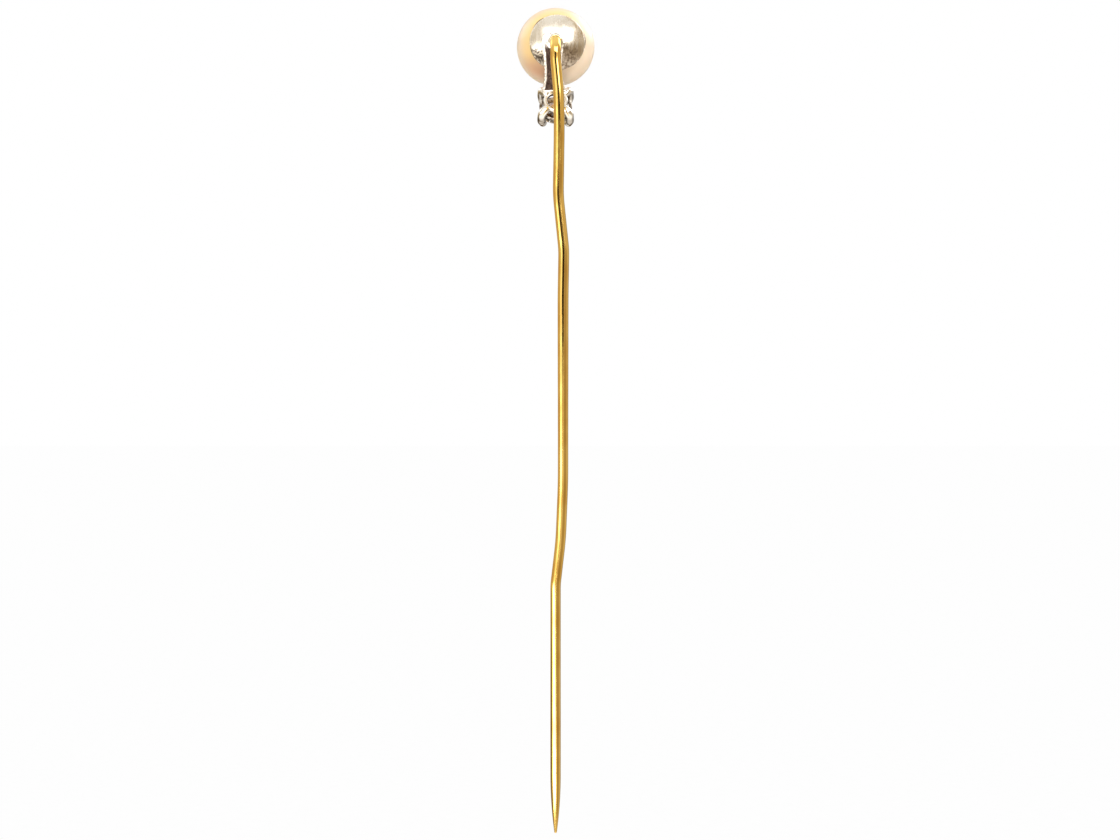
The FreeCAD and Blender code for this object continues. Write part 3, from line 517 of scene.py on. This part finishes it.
def make_strap_platinum_painted_dark():
    """The strap's metal: dull and pitted, its faces painted dark as a painted reflection of dark
    surroundings, its edges left bright as a light rim, and bright where solder covers its top.
    """
    material, tree, shader = new_material("strap_platinum_painted_dark")
    pitting = place_group(tree, PITTING, Scale=7000.0)
    place = place_group(tree, PEARL_POSITION)
    # Painted dark reflection: the faces are coloured dark and tarnish-mottled for the dark surroundings they
    # reflect; the darker pits are real.
    dark_reflection_and_pits = blend_colours(tree, pitting["Tarnish"], (0.115, 0.075, 0.066), (0.20, 0.145, 0.12))
    dark_reflection_and_pits = blend_colours(tree, pitting["Pits"], dark_reflection_and_pits, (0.035, 0.02, 0.018))
    edge = add(tree, "ShaderNodeAttribute", attribute_name="edge").outputs["Fac"]
    # Along the edges and under the solder the painted dark stops and the bright metal shows, a light rim
    # along the edges.
    edge_band = calculate(tree, "ADD", edge, calculate(tree, "MULTIPLY", pitting["Tarnish"], 0.15))
    soldered = between(tree, place["Up"], -0.75, 0.05)
    rubbed = calculate(tree, "MAXIMUM", between(tree, edge_band, 0.25, 0.6), soldered)
    join(tree, blend_colours(tree, rubbed, dark_reflection_and_pits, (0.86, 0.80, 0.75)), shader.inputs["Base Color"])
    smoothed = calculate(tree, "MULTIPLY", rubbed, 0.22)
    join(tree, calculate(tree, "SUBTRACT", 0.48, smoothed), shader.inputs["Roughness"])
    shader.inputs["Metallic"].default_value = 1.0
    bump(tree, shader, pitting["Pits"], 0.02, strength=0.8)
    return material


def make_pearl():
    """Nacre: cream, more golden towards the drilled back, part its own overtone and part a painted warm
    reflection of the cup, with painted rosy shade below and a soft deep lustre.
    """
    material, tree, shader = new_material("nacre")
    place = place_group(tree, PEARL_POSITION)
    across, back, up = place["Across"], place["Back"], place["Up"]
    # Golden towards the drilled back: part the nacre's own overtone, part a painted warm reflection of the
    # cup, made stronger towards up and +X.
    above = between(tree, calculate(tree, "ADD", up, across), -2.2, 0.6)
    golden = calculate(tree, "MULTIPLY", between(tree, back, 0.9, 2.2), above)
    body = blend_colours(tree, golden, (0.80, 0.68, 0.54), (0.86, 0.61, 0.23))
    drift = noise_at(tree, 260.0, detail=2.0)
    body = blend_colours(tree, between(tree, drift, 0.35, 0.65, 0.0, 0.35), body, (0.84, 0.67, 0.52))
    # Painted rosy shade, low on the pearl and towards its back.
    rosy_shade = between(tree, up, -0.6, -2.2)
    rosy_shade = calculate(tree, "MULTIPLY", rosy_shade, between(tree, across, -0.6, 1.2, 0.15, 1.0))
    rosy_shade = calculate(tree, "MULTIPLY", rosy_shade, between(tree, back, 0.2, 1.8))
    body = blend_colours(tree, rosy_shade, body, (0.60, 0.34, 0.20))
    join(tree, body, shader.inputs["Base Color"])
    growth = noise_at(tree, 3200.0, detail=3.0)
    join(tree, between(tree, growth, 0.3, 0.7, 0.32, 0.40), shader.inputs["Roughness"])
    shader.inputs["Subsurface Weight"].default_value = 0.25
    shader.inputs["Subsurface Radius"].default_value = (1.0, 0.62, 0.36)
    shader.inputs["Subsurface Scale"].default_value = 0.6 * MM
    shader.inputs["IOR"].default_value = 1.5
    shader.inputs["Coat Weight"].default_value = 0.15
    shader.inputs["Coat Roughness"].default_value = 0.22
    shader.inputs["Coat IOR"].default_value = 1.5
    bump(tree, shader, growth, 0.002)
    return material


def make_cement():
    """Old brown cement with grime in it, also the dark line at the rim that stands in for the shadow gap."""
    material, tree, shader = new_material("old_cement")
    pitting = place_group(tree, PITTING, Scale=6000.0)
    colour = blend_colours(tree, pitting["Pits"], (0.10, 0.055, 0.025), (0.22, 0.14, 0.07))
    join(tree, colour, shader.inputs["Base Color"])
    join(tree, between(tree, pitting["Tarnish"], 0.0, 1.0, 0.55, 0.8), shader.inputs["Roughness"])
    bump(tree, shader, pitting["Pits"], 0.015)
    return material


def make_diamond():
    """Diamond with a trace of brown, and its pavilion tinted dark brown."""
    material, tree, shader = new_material("diamond")
    haze = noise_at(tree, 700.0, detail=2.0)
    clean = blend_colours(tree, haze, (0.82, 0.74, 0.62), (0.66, 0.56, 0.44))
    # The pavilion, behind the girdle, is tinted a dark brown.
    dark_pavilion = blend_colours(tree, haze, (0.12, 0.045, 0.010), (0.04, 0.015, 0.003))
    behind = between(tree, place_group(tree, SETTING_POSITION)["Depth"], GIRDLE_TOP, GIRDLE_RISE - 0.15)
    join(tree, blend_colours(tree, behind, clean, dark_pavilion), shader.inputs["Base Color"])
    join(tree, between(tree, noise_at(tree, 5000.0), 0.3, 0.8, 0.0, 0.02), shader.inputs["Roughness"])
    shader.inputs["IOR"].default_value = 2.42
    shader.inputs["Transmission Weight"].default_value = 1.0
    return material


# ----------------------------------------------------------------------------------------------------
# Mesh helpers
# ----------------------------------------------------------------------------------------------------


def ring_vertices(mesh, points):
    return [mesh.verts.new(point) for point in points]


def skin_rings(mesh, rings, closed_path=False):
    """Join each ring of vertices to the next with quads."""
    count = len(rings[0])
    pairs = list(zip(rings, rings[1:]))
    if closed_path:
        pairs.append((rings[-1], rings[0]))
    for first, second in pairs:
        for step in range(count):
            following = (step + 1) % count
            mesh.faces.new((first[step], first[following], second[following], second[step]))


def cap(mesh, ring):
    """Close a ring with a fan round its middle."""
    middle = sum((vertex.co for vertex in ring), Vector()) / len(ring)
    hub = mesh.verts.new(middle)
    for step, vertex in enumerate(ring):
        mesh.faces.new((vertex, ring[(step + 1) % len(ring)], hub))


def sweep(line, radii, sides):
    """A closed round tube along a line of points, with a radius at each point."""
    mesh = bmesh.new()
    across = Vector((0, 1, 0))
    rings = []
    for number, point in enumerate(line):
        ahead = line[min(number + 1, len(line) - 1)] - line[max(number - 1, 0)]
        ahead.normalize()
        across = (across - ahead * across.dot(ahead)).normalized()
        beside = ahead.cross(across)
        turn = [math.tau * step / sides for step in range(sides)]
        places = [point + (across * math.cos(a) + beside * math.sin(a)) * radii[number] for a in turn]
        rings.append(ring_vertices(mesh, places))
    skin_rings(mesh, rings)
    cap(mesh, rings[0])
    cap(mesh, rings[-1])
    return mesh


def lathe(outline, steps, closed=True):
    """Turn an outline of (radius, rise) about Z. An open outline starts and ends on the axis."""
    mesh = bmesh.new()
    rings = []
    for radius, rise in outline:
        turn = [math.tau * step / steps for step in range(steps)]
        rings.append(ring_vertices(mesh, [(radius * math.cos(a), radius * math.sin(a), rise) for a in turn]))
    skin_rings(mesh, rings, closed_path=closed)
    if not closed:
        bmesh.ops.remove_doubles(mesh, verts=mesh.verts, dist=1e-6)
    return mesh


def arc(centre, radius, start, end, steps):
    """Points (across, up) round part of a circle, angles in radians from the across axis."""
    angles = [start + (end - start) * step / steps for step in range(steps + 1)]
    return [(centre[0] + radius * math.cos(a), centre[1] + radius * math.sin(a)) for a in angles]


def rounded_line(start, bends, end, spacing):
    """Points (across, up) along straight runs rounded at each bend (across, up, radius)."""
    corners = [Vector(start), *(Vector(bend[:2]) for bend in bends), Vector(end)]
    points = [corners[0]]
    for number, bend in enumerate(bends, start=1):
        here = corners[number]
        back = (corners[number - 1] - here).normalized()
        ahead = (corners[number + 1] - here).normalized()
        half = back.angle(ahead) / 2
        trim = bend[2] / math.tan(half)
        middle = here + (back + ahead).normalized() * (bend[2] / math.sin(half))
        first, last = here + back * trim - middle, here + ahead * trim - middle
        swing = first.angle_signed(last)
        steps = max(4, round(bend[2] * abs(swing) / spacing))
        points += run_points(points[-1], middle + first, spacing)
        for step in range(1, steps + 1):
            turned = first.copy()
            turned.rotate(Matrix.Rotation(-swing * step / steps, 2))
            points.append(middle + turned)
    return points + run_points(points[-1], corners[-1], spacing)


def run_points(start, end, spacing):
    """Points along a straight run, without its start."""
    steps = max(1, round((end - start).length / spacing))
    return [start.lerp(end, step / steps) for step in range(1, steps + 1)]


def roughen(mesh, amount, size, seed):
    """Push each vertex along its normal by smooth noise: amount and feature size in millimetres."""
    mesh.normal_update()
    shift = Vector((seed * 17.3, seed * 5.1, seed * 9.7))
    for vertex in mesh.verts:
        vertex.co += vertex.normal * noise.noise(vertex.co / size + shift) * amount


def mesh_object(mesh, name, matrix=None, smooth=True):
    """Turn a bmesh in millimetres into an object in metres."""
    if matrix:
        mesh.transform(matrix)
    bmesh.ops.recalc_face_normals(mesh, faces=mesh.faces)
    if mesh.calc_volume(signed=True) < 0:
        bmesh.ops.reverse_faces(mesh, faces=mesh.faces)
    mesh.transform(Matrix.Scale(MM, 4))
    data = bpy.data.meshes.new(name)
    mesh.to_mesh(data)
    mesh.free()
    for face in data.polygons:
        face.use_smooth = smooth
    piece = bpy.data.objects.new(name, data)
    bpy.context.scene.collection.objects.link(piece)
    return piece


def finish_piece(piece, node, material):
    """Give a finished piece its material, hang it from the root body and hide the CAD node it stands for."""
    piece.data.materials.clear()
    piece.data.materials.append(material)
    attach(piece, "root")
    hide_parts(node)
    return piece


def carve(piece, cutter):
    """Cut one object out of another. Both are scaled up to millimetres for the cut."""
    for target in (piece, cutter):
        target.data.transform(Matrix.Scale(1 / MM, 4))
    modifier = piece.modifiers.new("carve", "BOOLEAN")
    modifier.operation = "DIFFERENCE"
    modifier.solver = "EXACT"
    modifier.object = cutter
    bpy.context.view_layer.update()
    cut = bpy.data.meshes.new_from_object(piece.evaluated_get(bpy.context.evaluated_depsgraph_get()))
    piece.modifiers.clear()
    piece.data = cut
    for target in (piece, cutter):
        target.data.transform(Matrix.Scale(MM, 4))


# ----------------------------------------------------------------------------------------------------
# Stem
# ----------------------------------------------------------------------------------------------------


def point_radius(height):
    """The radius of the sharpened point: a blunt round tip and a long arc that meets the wire's wall."""
    if height <= TIP_RADIUS:
        return math.sqrt(max(TIP_RADIUS**2 - (TIP_RADIUS - height) ** 2, 1e-8))
    rise, width = POINT_LENGTH - TIP_RADIUS, WIRE_RADIUS - TIP_RADIUS
    flank = (rise**2 + width**2) / (2 * width)
    return WIRE_RADIUS - flank + math.sqrt(flank**2 - (POINT_LENGTH - height) ** 2)


def wire_radius(height):
    """The wire's radius on its way up from the point to the top bend."""
    if height < POINT_LENGTH:
        return point_radius(height)
    grown = min(max((height - THIN_HEIGHT) / (THICK_HEIGHT - THIN_HEIGHT), 0.0), 1.0)
    drawn = 0.004 * noise.noise(Vector((0.3, 0.7, height * 0.45)))
    return WIRE_RADIUS + (UPPER_WIRE_RADIUS - WIRE_RADIUS) * grown + drawn


def make_stem(material):
    """One wire from the point to its root in the cup."""
    bend_height = PEARL_CENTRE.z - TOP_BEND_RADIUS
    heights = [TIP_RADIUS * (1 - math.cos(math.radians(a))) for a in range(5, 90, 10)]
    upright = [Vector((0, height)) for height in heights]
    upright += rounded_line((0, TIP_RADIUS), STEM_BENDS, (0, bend_height), spacing=0.25)
    line = [Vector((across, 0, up)) for across, up in upright]
    radii = [wire_radius(point.z) for point in line]
    steps = 24
    for step in range(1, steps + 1):
        angle = math.radians(90) * step / steps
        back = -TOP_BEND_RADIUS * (1 - math.cos(angle))
        line.append(Vector((0, back, bend_height + TOP_BEND_RADIUS * math.sin(angle))))
        radii.append(UPPER_WIRE_RADIUS + (ROOT_RADIUS - UPPER_WIRE_RADIUS) * step / steps)
    line.append(Vector((0, PEARL_CENTRE.y + ROOT_END, PEARL_CENTRE.z)))
    radii.append(ROOT_RADIUS)
    piece = mesh_object(sweep(line, radii, sides=56), "pin_stem_wire")
    return finish_piece(piece, "pin_stem", material)


# ----------------------------------------------------------------------------------------------------
# Pearl, cup and cement
# ----------------------------------------------------------------------------------------------------


def make_pearl_piece(material):
    """A pearl, very slightly out of round, with its drilled hole."""
    mouth = math.asin(DRILL_RADIUS / PEARL_RADIUS)
    outline = [(0.0, PEARL_RADIUS - DRILL_DEPTH), (DRILL_RADIUS, PEARL_RADIUS - DRILL_DEPTH)]
    outline += arc((0, 0), PEARL_RADIUS, math.radians(90) - mouth, math.radians(-90), 96)
    mesh = lathe(outline, 128, closed=False)
    roughen(mesh, 0.012, 2.4, seed=1)
    return finish_piece(mesh_object(mesh, "pearl_nacre", FACING_BACK), "pearl", material)


def make_peg(material):
    """The peg inside the pearl, grooved so that the cement keys to it."""
    bevel = 0.05
    inner_end = ROOT_END - PEG_LENGTH
    outline = [(0.0, inner_end), (PEG_RADIUS - bevel, inner_end)]
    outline.append((PEG_RADIUS, inner_end + bevel))
    half, slim = PEG_GROOVE_WIDTH / 2, PEG_RADIUS - PEG_GROOVE_DEPTH
    for drop in reversed(PEG_GROOVES):
        for radius, rise in ((PEG_RADIUS, -half), (slim, -half / 2), (slim, half / 2), (PEG_RADIUS, half)):
            outline.append((radius, ROOT_END - drop + rise))
    outline += [(PEG_RADIUS, ROOT_END), (0.0, ROOT_END)]
    mesh = lathe(outline, 48, closed=False)
    roughen(mesh, 0.004, 0.3, seed=7)
    piece = mesh_object(mesh, "grooved_peg", FACING_BACK)
    return finish_piece(piece, "pearl_peg", material)


def cup_frame():
    """The cup's own frame: its axis leans to one side of the pearl's."""
    return FACING_BACK @ Matrix.Rotation(-CUP_TURN, 4, "Y")


def make_cup(material):
    """A thin raised dome with a rounded rim. Its hole is left out, because the stem's root fills it."""
    rim = math.radians(90) - CUP_ANGLE
    outline = arc((0, 0), CUP_OUTSIDE, math.radians(90), rim + RIM_ROUNDING / CUP_OUTSIDE, 60)
    for radius, start in ((CUP_OUTSIDE - RIM_ROUNDING, 0), (CUP_INSIDE + RIM_ROUNDING, 90)):
        angle = rim + RIM_ROUNDING / radius
        corner = (radius * math.cos(angle), radius * math.sin(angle))
        turn = angle - math.radians(start)
        outline += arc(corner, RIM_ROUNDING, turn, turn - math.radians(90), 5)
    outline += arc((0, 0), CUP_INSIDE, rim + RIM_ROUNDING / CUP_INSIDE, math.radians(90), 40)
    mesh = lathe(outline, 128, closed=False)
    roughen(mesh, 0.006, 1.1, seed=2)
    piece = mesh_object(mesh, "cup_dome", cup_frame())
    return finish_piece(piece, "pearl_cup", material)


def make_cement_and_rim_shadow(material):
    """Cement under the cup, carried past the rim in places as a thin dark line that stands in for the shadow
    in the gap between rim and pearl.
    """
    mesh = bmesh.new()
    steps = 160
    start = math.radians(20)  # from the cup's pole, well under the cup
    sunk, raised = PEARL_RADIUS - 0.01, PEARL_RADIUS + 0.04
    rings = [[], [], [], []]
    for step in range(steps):
        turn = math.tau * step / steps
        # Past the rim the dark cement stands in for the shadow in the gap between the rim and the pearl.
        rim_shadow = sum(
            math.exp(-((math.remainder(turn - math.radians(place), math.tau) / math.radians(spread)) ** 2))
            for place, spread in RIM_SHADOW_PLACES
        )
        ripple = 1.2 * noise.noise(Vector((math.cos(turn) * 3, math.sin(turn) * 3, 4.0)))
        reach = CUP_ANGLE + math.radians(RIM_SHADOW_REACH + ripple) * (1 - math.exp(-4 * rim_shadow))
        section = [(sunk, start), (CUP_INSIDE, start), (raised, reach), (sunk, reach + math.radians(0.6))]
        for ring, (radius, angle) in zip(rings, section):
            out = radius * math.sin(angle)
            place = (out * math.cos(turn), out * math.sin(turn), radius * math.cos(angle))
            ring.append(mesh.verts.new(place))
    skin_rings(mesh, rings, closed_path=True)
    piece = mesh_object(mesh, "cement_rim_shadow_line", cup_frame())
    return finish_piece(piece, "pearl_cement", material)


# ----------------------------------------------------------------------------------------------------
# Strap and solder
# ----------------------------------------------------------------------------------------------------


def strap_edges(drop):
    """The strap's two edges (low x, high x) at a drop below the eye's centre."""
    shoulder = math.sqrt(EYE_RADIUS**2 - EYE_SHOULDER**2)
    if drop <= EYE_SHOULDER:
        half = math.sqrt(max(EYE_RADIUS**2 - drop**2, 0.0))
        return STRAP_OFFSET - half, STRAP_OFFSET + half
    if drop <= WAIST_DROP:
        share = (drop - EYE_SHOULDER) / (WAIST_DROP - EYE_SHOULDER)
        half = shoulder + (WAIST_HALFWIDTH - shoulder) * share
        return STRAP_OFFSET - half, STRAP_OFFSET + half
    edges = []
    for side in (-1, 1):
        widening = side * (FOOT_OFFSET - STRAP_OFFSET) + FOOT_HALFWIDTH - WAIST_HALFWIDTH
        flare = ((FOOT_DROP - WAIST_DROP) ** 2 + widening**2) / (2 * widening)
        gone = flare - math.sqrt(flare**2 - (drop - WAIST_DROP) ** 2)
        edges.append(STRAP_OFFSET + side * (WAIST_HALFWIDTH + gone))
    return edges[0], edges[1]


def strap_place(across, drop, out):
    """A point on the strap's middle layer, moved out from it, after bending the strap forward."""
    middle = PEARL_CENTRE.y + CUP_OUTSIDE - STRAP_SEAT + STRAP_THICKNESS / 2
    radius = STRAP_BEND_RADIUS + STRAP_THICKNESS / 2
    if drop <= 0:
        return Vector((across, middle + out, PEARL_CENTRE.z - drop))
    angle = math.asin(drop / radius)
    back, down = (radius + out) * math.cos(angle), (radius + out) * math.sin(angle)
    return Vector((across, middle - radius + back, PEARL_CENTRE.z - down))


def make_strap(material):
    """A flat strap with softened, hand-filed edges, marked along them for the bright edge band where the
    painted dark of the faces stops.
    """
    mesh = bmesh.new()
    edge_layer = mesh.verts.layers.float.new("edge")
    round_steps, squareness = 88, 0.28  # a section between a round bar's, 1, and a sharp plate's, 0
    length_steps, wander = 120, 0.03
    drops = [-EYE_RADIUS * math.cos(math.radians(a)) for a in range(3, 90, 3)]
    drops += [FOOT_DROP * step / length_steps for step in range(length_steps + 1)]
    rings = []
    for drop in drops:
        low, high = strap_edges(drop)
        filed = wander * min(max(drop - 0.5, 0.0), 1.0)
        low += filed * noise.noise(Vector((drop * 2.6, 1.0, 0.0)))
        high += filed * noise.noise(Vector((drop * 2.2, 9.0, 0.0)))
        middle, half = (low + high) / 2, (high - low) / 2
        ring = []
        for step in range(round_steps):
            turn = math.tau * step / round_steps
            side = math.copysign(abs(math.cos(turn)) ** squareness, math.cos(turn))
            out = math.copysign(abs(math.sin(turn)) ** squareness, math.sin(turn))
            across = middle + half * side
            vertex = mesh.verts.new(strap_place(across, drop, out * STRAP_THICKNESS / 2))
            from_edge = half * (1 - abs(side))
            vertex[edge_layer] = max(0.0, 1 - from_edge / BRIGHT_EDGE_WIDTH)
            ring.append(vertex)
        rings.append(ring)
    skin_rings(mesh, rings)
    cap(mesh, rings[0])
    cap(mesh, rings[-1])
    roughen(mesh, 0.012, 0.16, seed=3)
    piece = mesh_object(mesh, "strap_plate")
    return finish_piece(piece, "hanger_strap", material)


def make_root_solder(material):
    """A collar of solder drawn up round the stem's root."""
    face = CUP_OUTSIDE - STRAP_SEAT + STRAP_THICKNESS
    inner, outer, lip, draw = ROOT_RADIUS - 0.03, 0.74, 0.03, 0.15
    outline = [(inner, face - 0.05), (outer, face - 0.05)]
    for angle in range(0, 91, 10):
        turn = math.radians(angle)
        outline.append((outer - 0.28 * math.sin(turn), face + lip + draw * (1 - math.cos(turn))))
    outline.append((inner, face + lip + draw))
    mesh = lathe(outline, 96)
    roughen(mesh, 0.03, 0.35, seed=4)
    piece = mesh_object(mesh, "root_solder_collar", FACING_BACK @ Matrix.Translation((0, 0.04, 0)))
    return finish_piece(piece, "root_solder", material)


def make_foot_solder(material):
    """A bead of solder under the strap's foot, fuller in some places than in others."""
    low, high = node_box("foot_solder")
    height = PEARL_CENTRE.z - FOOT_DROP - 0.02
    back = SETTING_CENTRE.y - 0.065
    steps, thickness = 60, 0.13
    line, radii = [], []
    for step in range(steps + 1):
        share = step / steps
        across = low.x + (high.x - low.x) * share
        line.append(Vector((across, back, height + 0.02 * math.sin(share * 5))))
        fullness = max(1 - (2 * share - 1) ** 6, 0.02) ** 0.5
        radii.append(thickness * fullness * (0.92 + 0.16 * noise.noise(Vector((share * 6, 2, 3)))))
    piece = mesh_object(sweep(line, radii, sides=28), "foot_solder_bead")
    return finish_piece(piece, "foot_solder", material)


# ----------------------------------------------------------------------------------------------------
# Setting and stone
# ----------------------------------------------------------------------------------------------------


def make_base_rail(material):
    """The flat ring at the back of the setting, its edges softened."""
    edge = 0.09
    half = RAIL_THICKNESS / 2
    outline = []
    for across, up, start in (
        (RAIL_OUTER - edge, half - edge, 0),
        (RAIL_INNER + edge, half - edge, 90),
        (RAIL_INNER + edge, -half + edge, 180),
        (RAIL_OUTER - edge, -half + edge, 270),
    ):
        outline += arc((across, up), edge, math.radians(start), math.radians(start + 90), 5)
    mesh = lathe(outline, 96)
    roughen(mesh, 0.012, 0.5, seed=5)
    piece = mesh_object(mesh, "base_rail_ring", FACING_FRONT)
    return finish_piece(piece, "base_rail", material)


def make_gallery_rail(material):
    """The thin wire ring below the stone."""
    mesh = lathe(arc((GALLERY_RADIUS, GALLERY_RISE), GALLERY_WIRE, 0, math.tau, 24)[:-1], 96)
    roughen(mesh, 0.008, 0.4, seed=6)
    piece = mesh_object(mesh, "gallery_wire_ring", FACING_FRONT)
    return finish_piece(piece, "gallery_rail", material)


def slice_facets(mesh, slope, at_radius, at_rise, first, count, up):
    """Grind a ring of flat facets onto the stone."""
    side = 1 if up else -1
    steepness = math.atan(slope)
    for number in range(count):
        azimuth = first + math.tau * number / count
        outward = Vector((math.cos(azimuth), math.sin(azimuth), 0))
        normal = outward * math.sin(steepness) + Vector((0, 0, side * math.cos(steepness)))
        place = outward * at_radius + Vector((0, 0, at_rise))
        everything = mesh.verts[:] + mesh.edges[:] + mesh.faces[:]
        cut = bmesh.ops.bisect_plane(
            mesh, geom=everything, dist=1e-6, plane_co=place, plane_no=normal, clear_outer=True
        )
        edges = [item for item in cut["geom_cut"] if isinstance(item, bmesh.types.BMEdge)]
        if edges:
            bmesh.ops.holes_fill(mesh, edges=edges)


def stone_mesh():
    """An old round brilliant: 8 mains and 16 halves above and below, 8 stars, a table and a small culet."""
    crown, pavilion = math.tan(math.radians(36)), math.tan(math.radians(41))
    table_corner, star_share, lower_half_share, culet = 0.67, 0.45, 0.62, 0.09
    eighth = math.radians(22.5)
    half = eighth / 2
    table_rise = GIRDLE_TOP + (STONE_RADIUS - table_corner) * crown
    culet_rise = GIRDLE_RISE - (STONE_RADIUS - culet) * pavilion
    outline = [(1e-7, culet_rise), (STONE_RADIUS, culet_rise), (STONE_RADIUS, table_rise), (1e-7, table_rise)]
    mesh = lathe(outline, 128, closed=False)
    inner_edge = table_corner * math.cos(eighth)
    star_tip = inner_edge + star_share * (STONE_RADIUS - inner_edge)
    star_tip_rise = GIRDLE_TOP + (STONE_RADIUS - star_tip * math.cos(eighth)) * crown
    upper_half = (star_tip_rise - GIRDLE_TOP) / ((STONE_RADIUS - star_tip) * math.cos(half))
    slice_facets(mesh, crown, STONE_RADIUS, GIRDLE_TOP, 0, 8, up=True)
    slice_facets(mesh, upper_half, STONE_RADIUS * math.cos(half), GIRDLE_TOP, half, 16, up=True)
    star = (table_rise - star_tip_rise) / (star_tip - inner_edge)
    slice_facets(mesh, star, inner_edge, table_rise, eighth, 8, up=True)
    reach = STONE_RADIUS * (1 - lower_half_share)
    reach_rise = GIRDLE_RISE - (STONE_RADIUS - reach * math.cos(eighth)) * pavilion
    lower_half = (GIRDLE_RISE - reach_rise) / ((STONE_RADIUS - reach) * math.cos(half))
    slice_facets(mesh, pavilion, STONE_RADIUS, GIRDLE_RISE, 0, 8, up=False)
    slice_facets(mesh, lower_half, STONE_RADIUS * math.cos(half), GIRDLE_RISE, half, 16, up=False)
    bmesh.ops.dissolve_limit(mesh, angle_limit=math.radians(0.5), verts=mesh.verts, edges=mesh.edges)
    return mesh


def make_stone(material):
    piece = mesh_object(stone_mesh(), "diamond_stone", FACING_FRONT, smooth=False)
    return finish_piece(piece, "diamond", material)


CLAWS = {  # and where each stands round the setting, in degrees
    "claw_upper_right": 45,
    "claw_upper_left": 135,
    "claw_lower_left": 225,
    "claw_lower_right": 315,
}


def make_claw(node, azimuth, seed, material, stone):
    """A claw of round wire: an arm out from the rail, an elbow, a prong forward and a domed tip."""
    route = rounded_line(CLAW_START, CLAW_BENDS, CLAW_END, spacing=0.05)
    line = [Vector((across, 0, up)) for across, up in route]
    uneven = [0.05 * noise.noise(Vector((seed, step * 0.08, 0))) for step in range(len(line))]
    radii = [CLAW_RADIUS * (1 + swell) for swell in uneven]
    ahead = (line[-1] - line[-2]).normalized()
    last, tip_radius = line[-1], radii[-1]
    for angle in range(10, 90, 10):
        line.append(last + ahead * tip_radius * math.sin(math.radians(angle)))
        radii.append(tip_radius * math.cos(math.radians(angle)))
    mesh = sweep(line, radii, sides=40)
    roughen(mesh, 0.02, 0.45, seed=seed)
    piece = mesh_object(mesh, node + "_wire", FACING_FRONT @ Matrix.Rotation(math.radians(azimuth), 4, "Z"))
    carve(piece, stone)
    return finish_piece(piece, node, material)


# ----------------------------------------------------------------------------------------------------
# The pin
# ----------------------------------------------------------------------------------------------------

gold = make_yellow_gold()
platinum = make_platinum()
solder = make_solder()
cement = make_cement()
setting = make_setting_platinum()

make_stem(gold)
make_pearl_piece(make_pearl())
make_peg(platinum)
make_cup(make_satin_platinum())
make_cement_and_rim_shadow(cement)
make_strap(make_strap_platinum_painted_dark())
make_root_solder(solder)
make_foot_solder(solder)
make_base_rail(setting)
make_gallery_rail(setting)
stone_piece = make_stone(make_diamond())
for number, (node, azimuth) in enumerate(CLAWS.items(), start=10):
    make_claw(node, azimuth, number, setting, stone_piece)
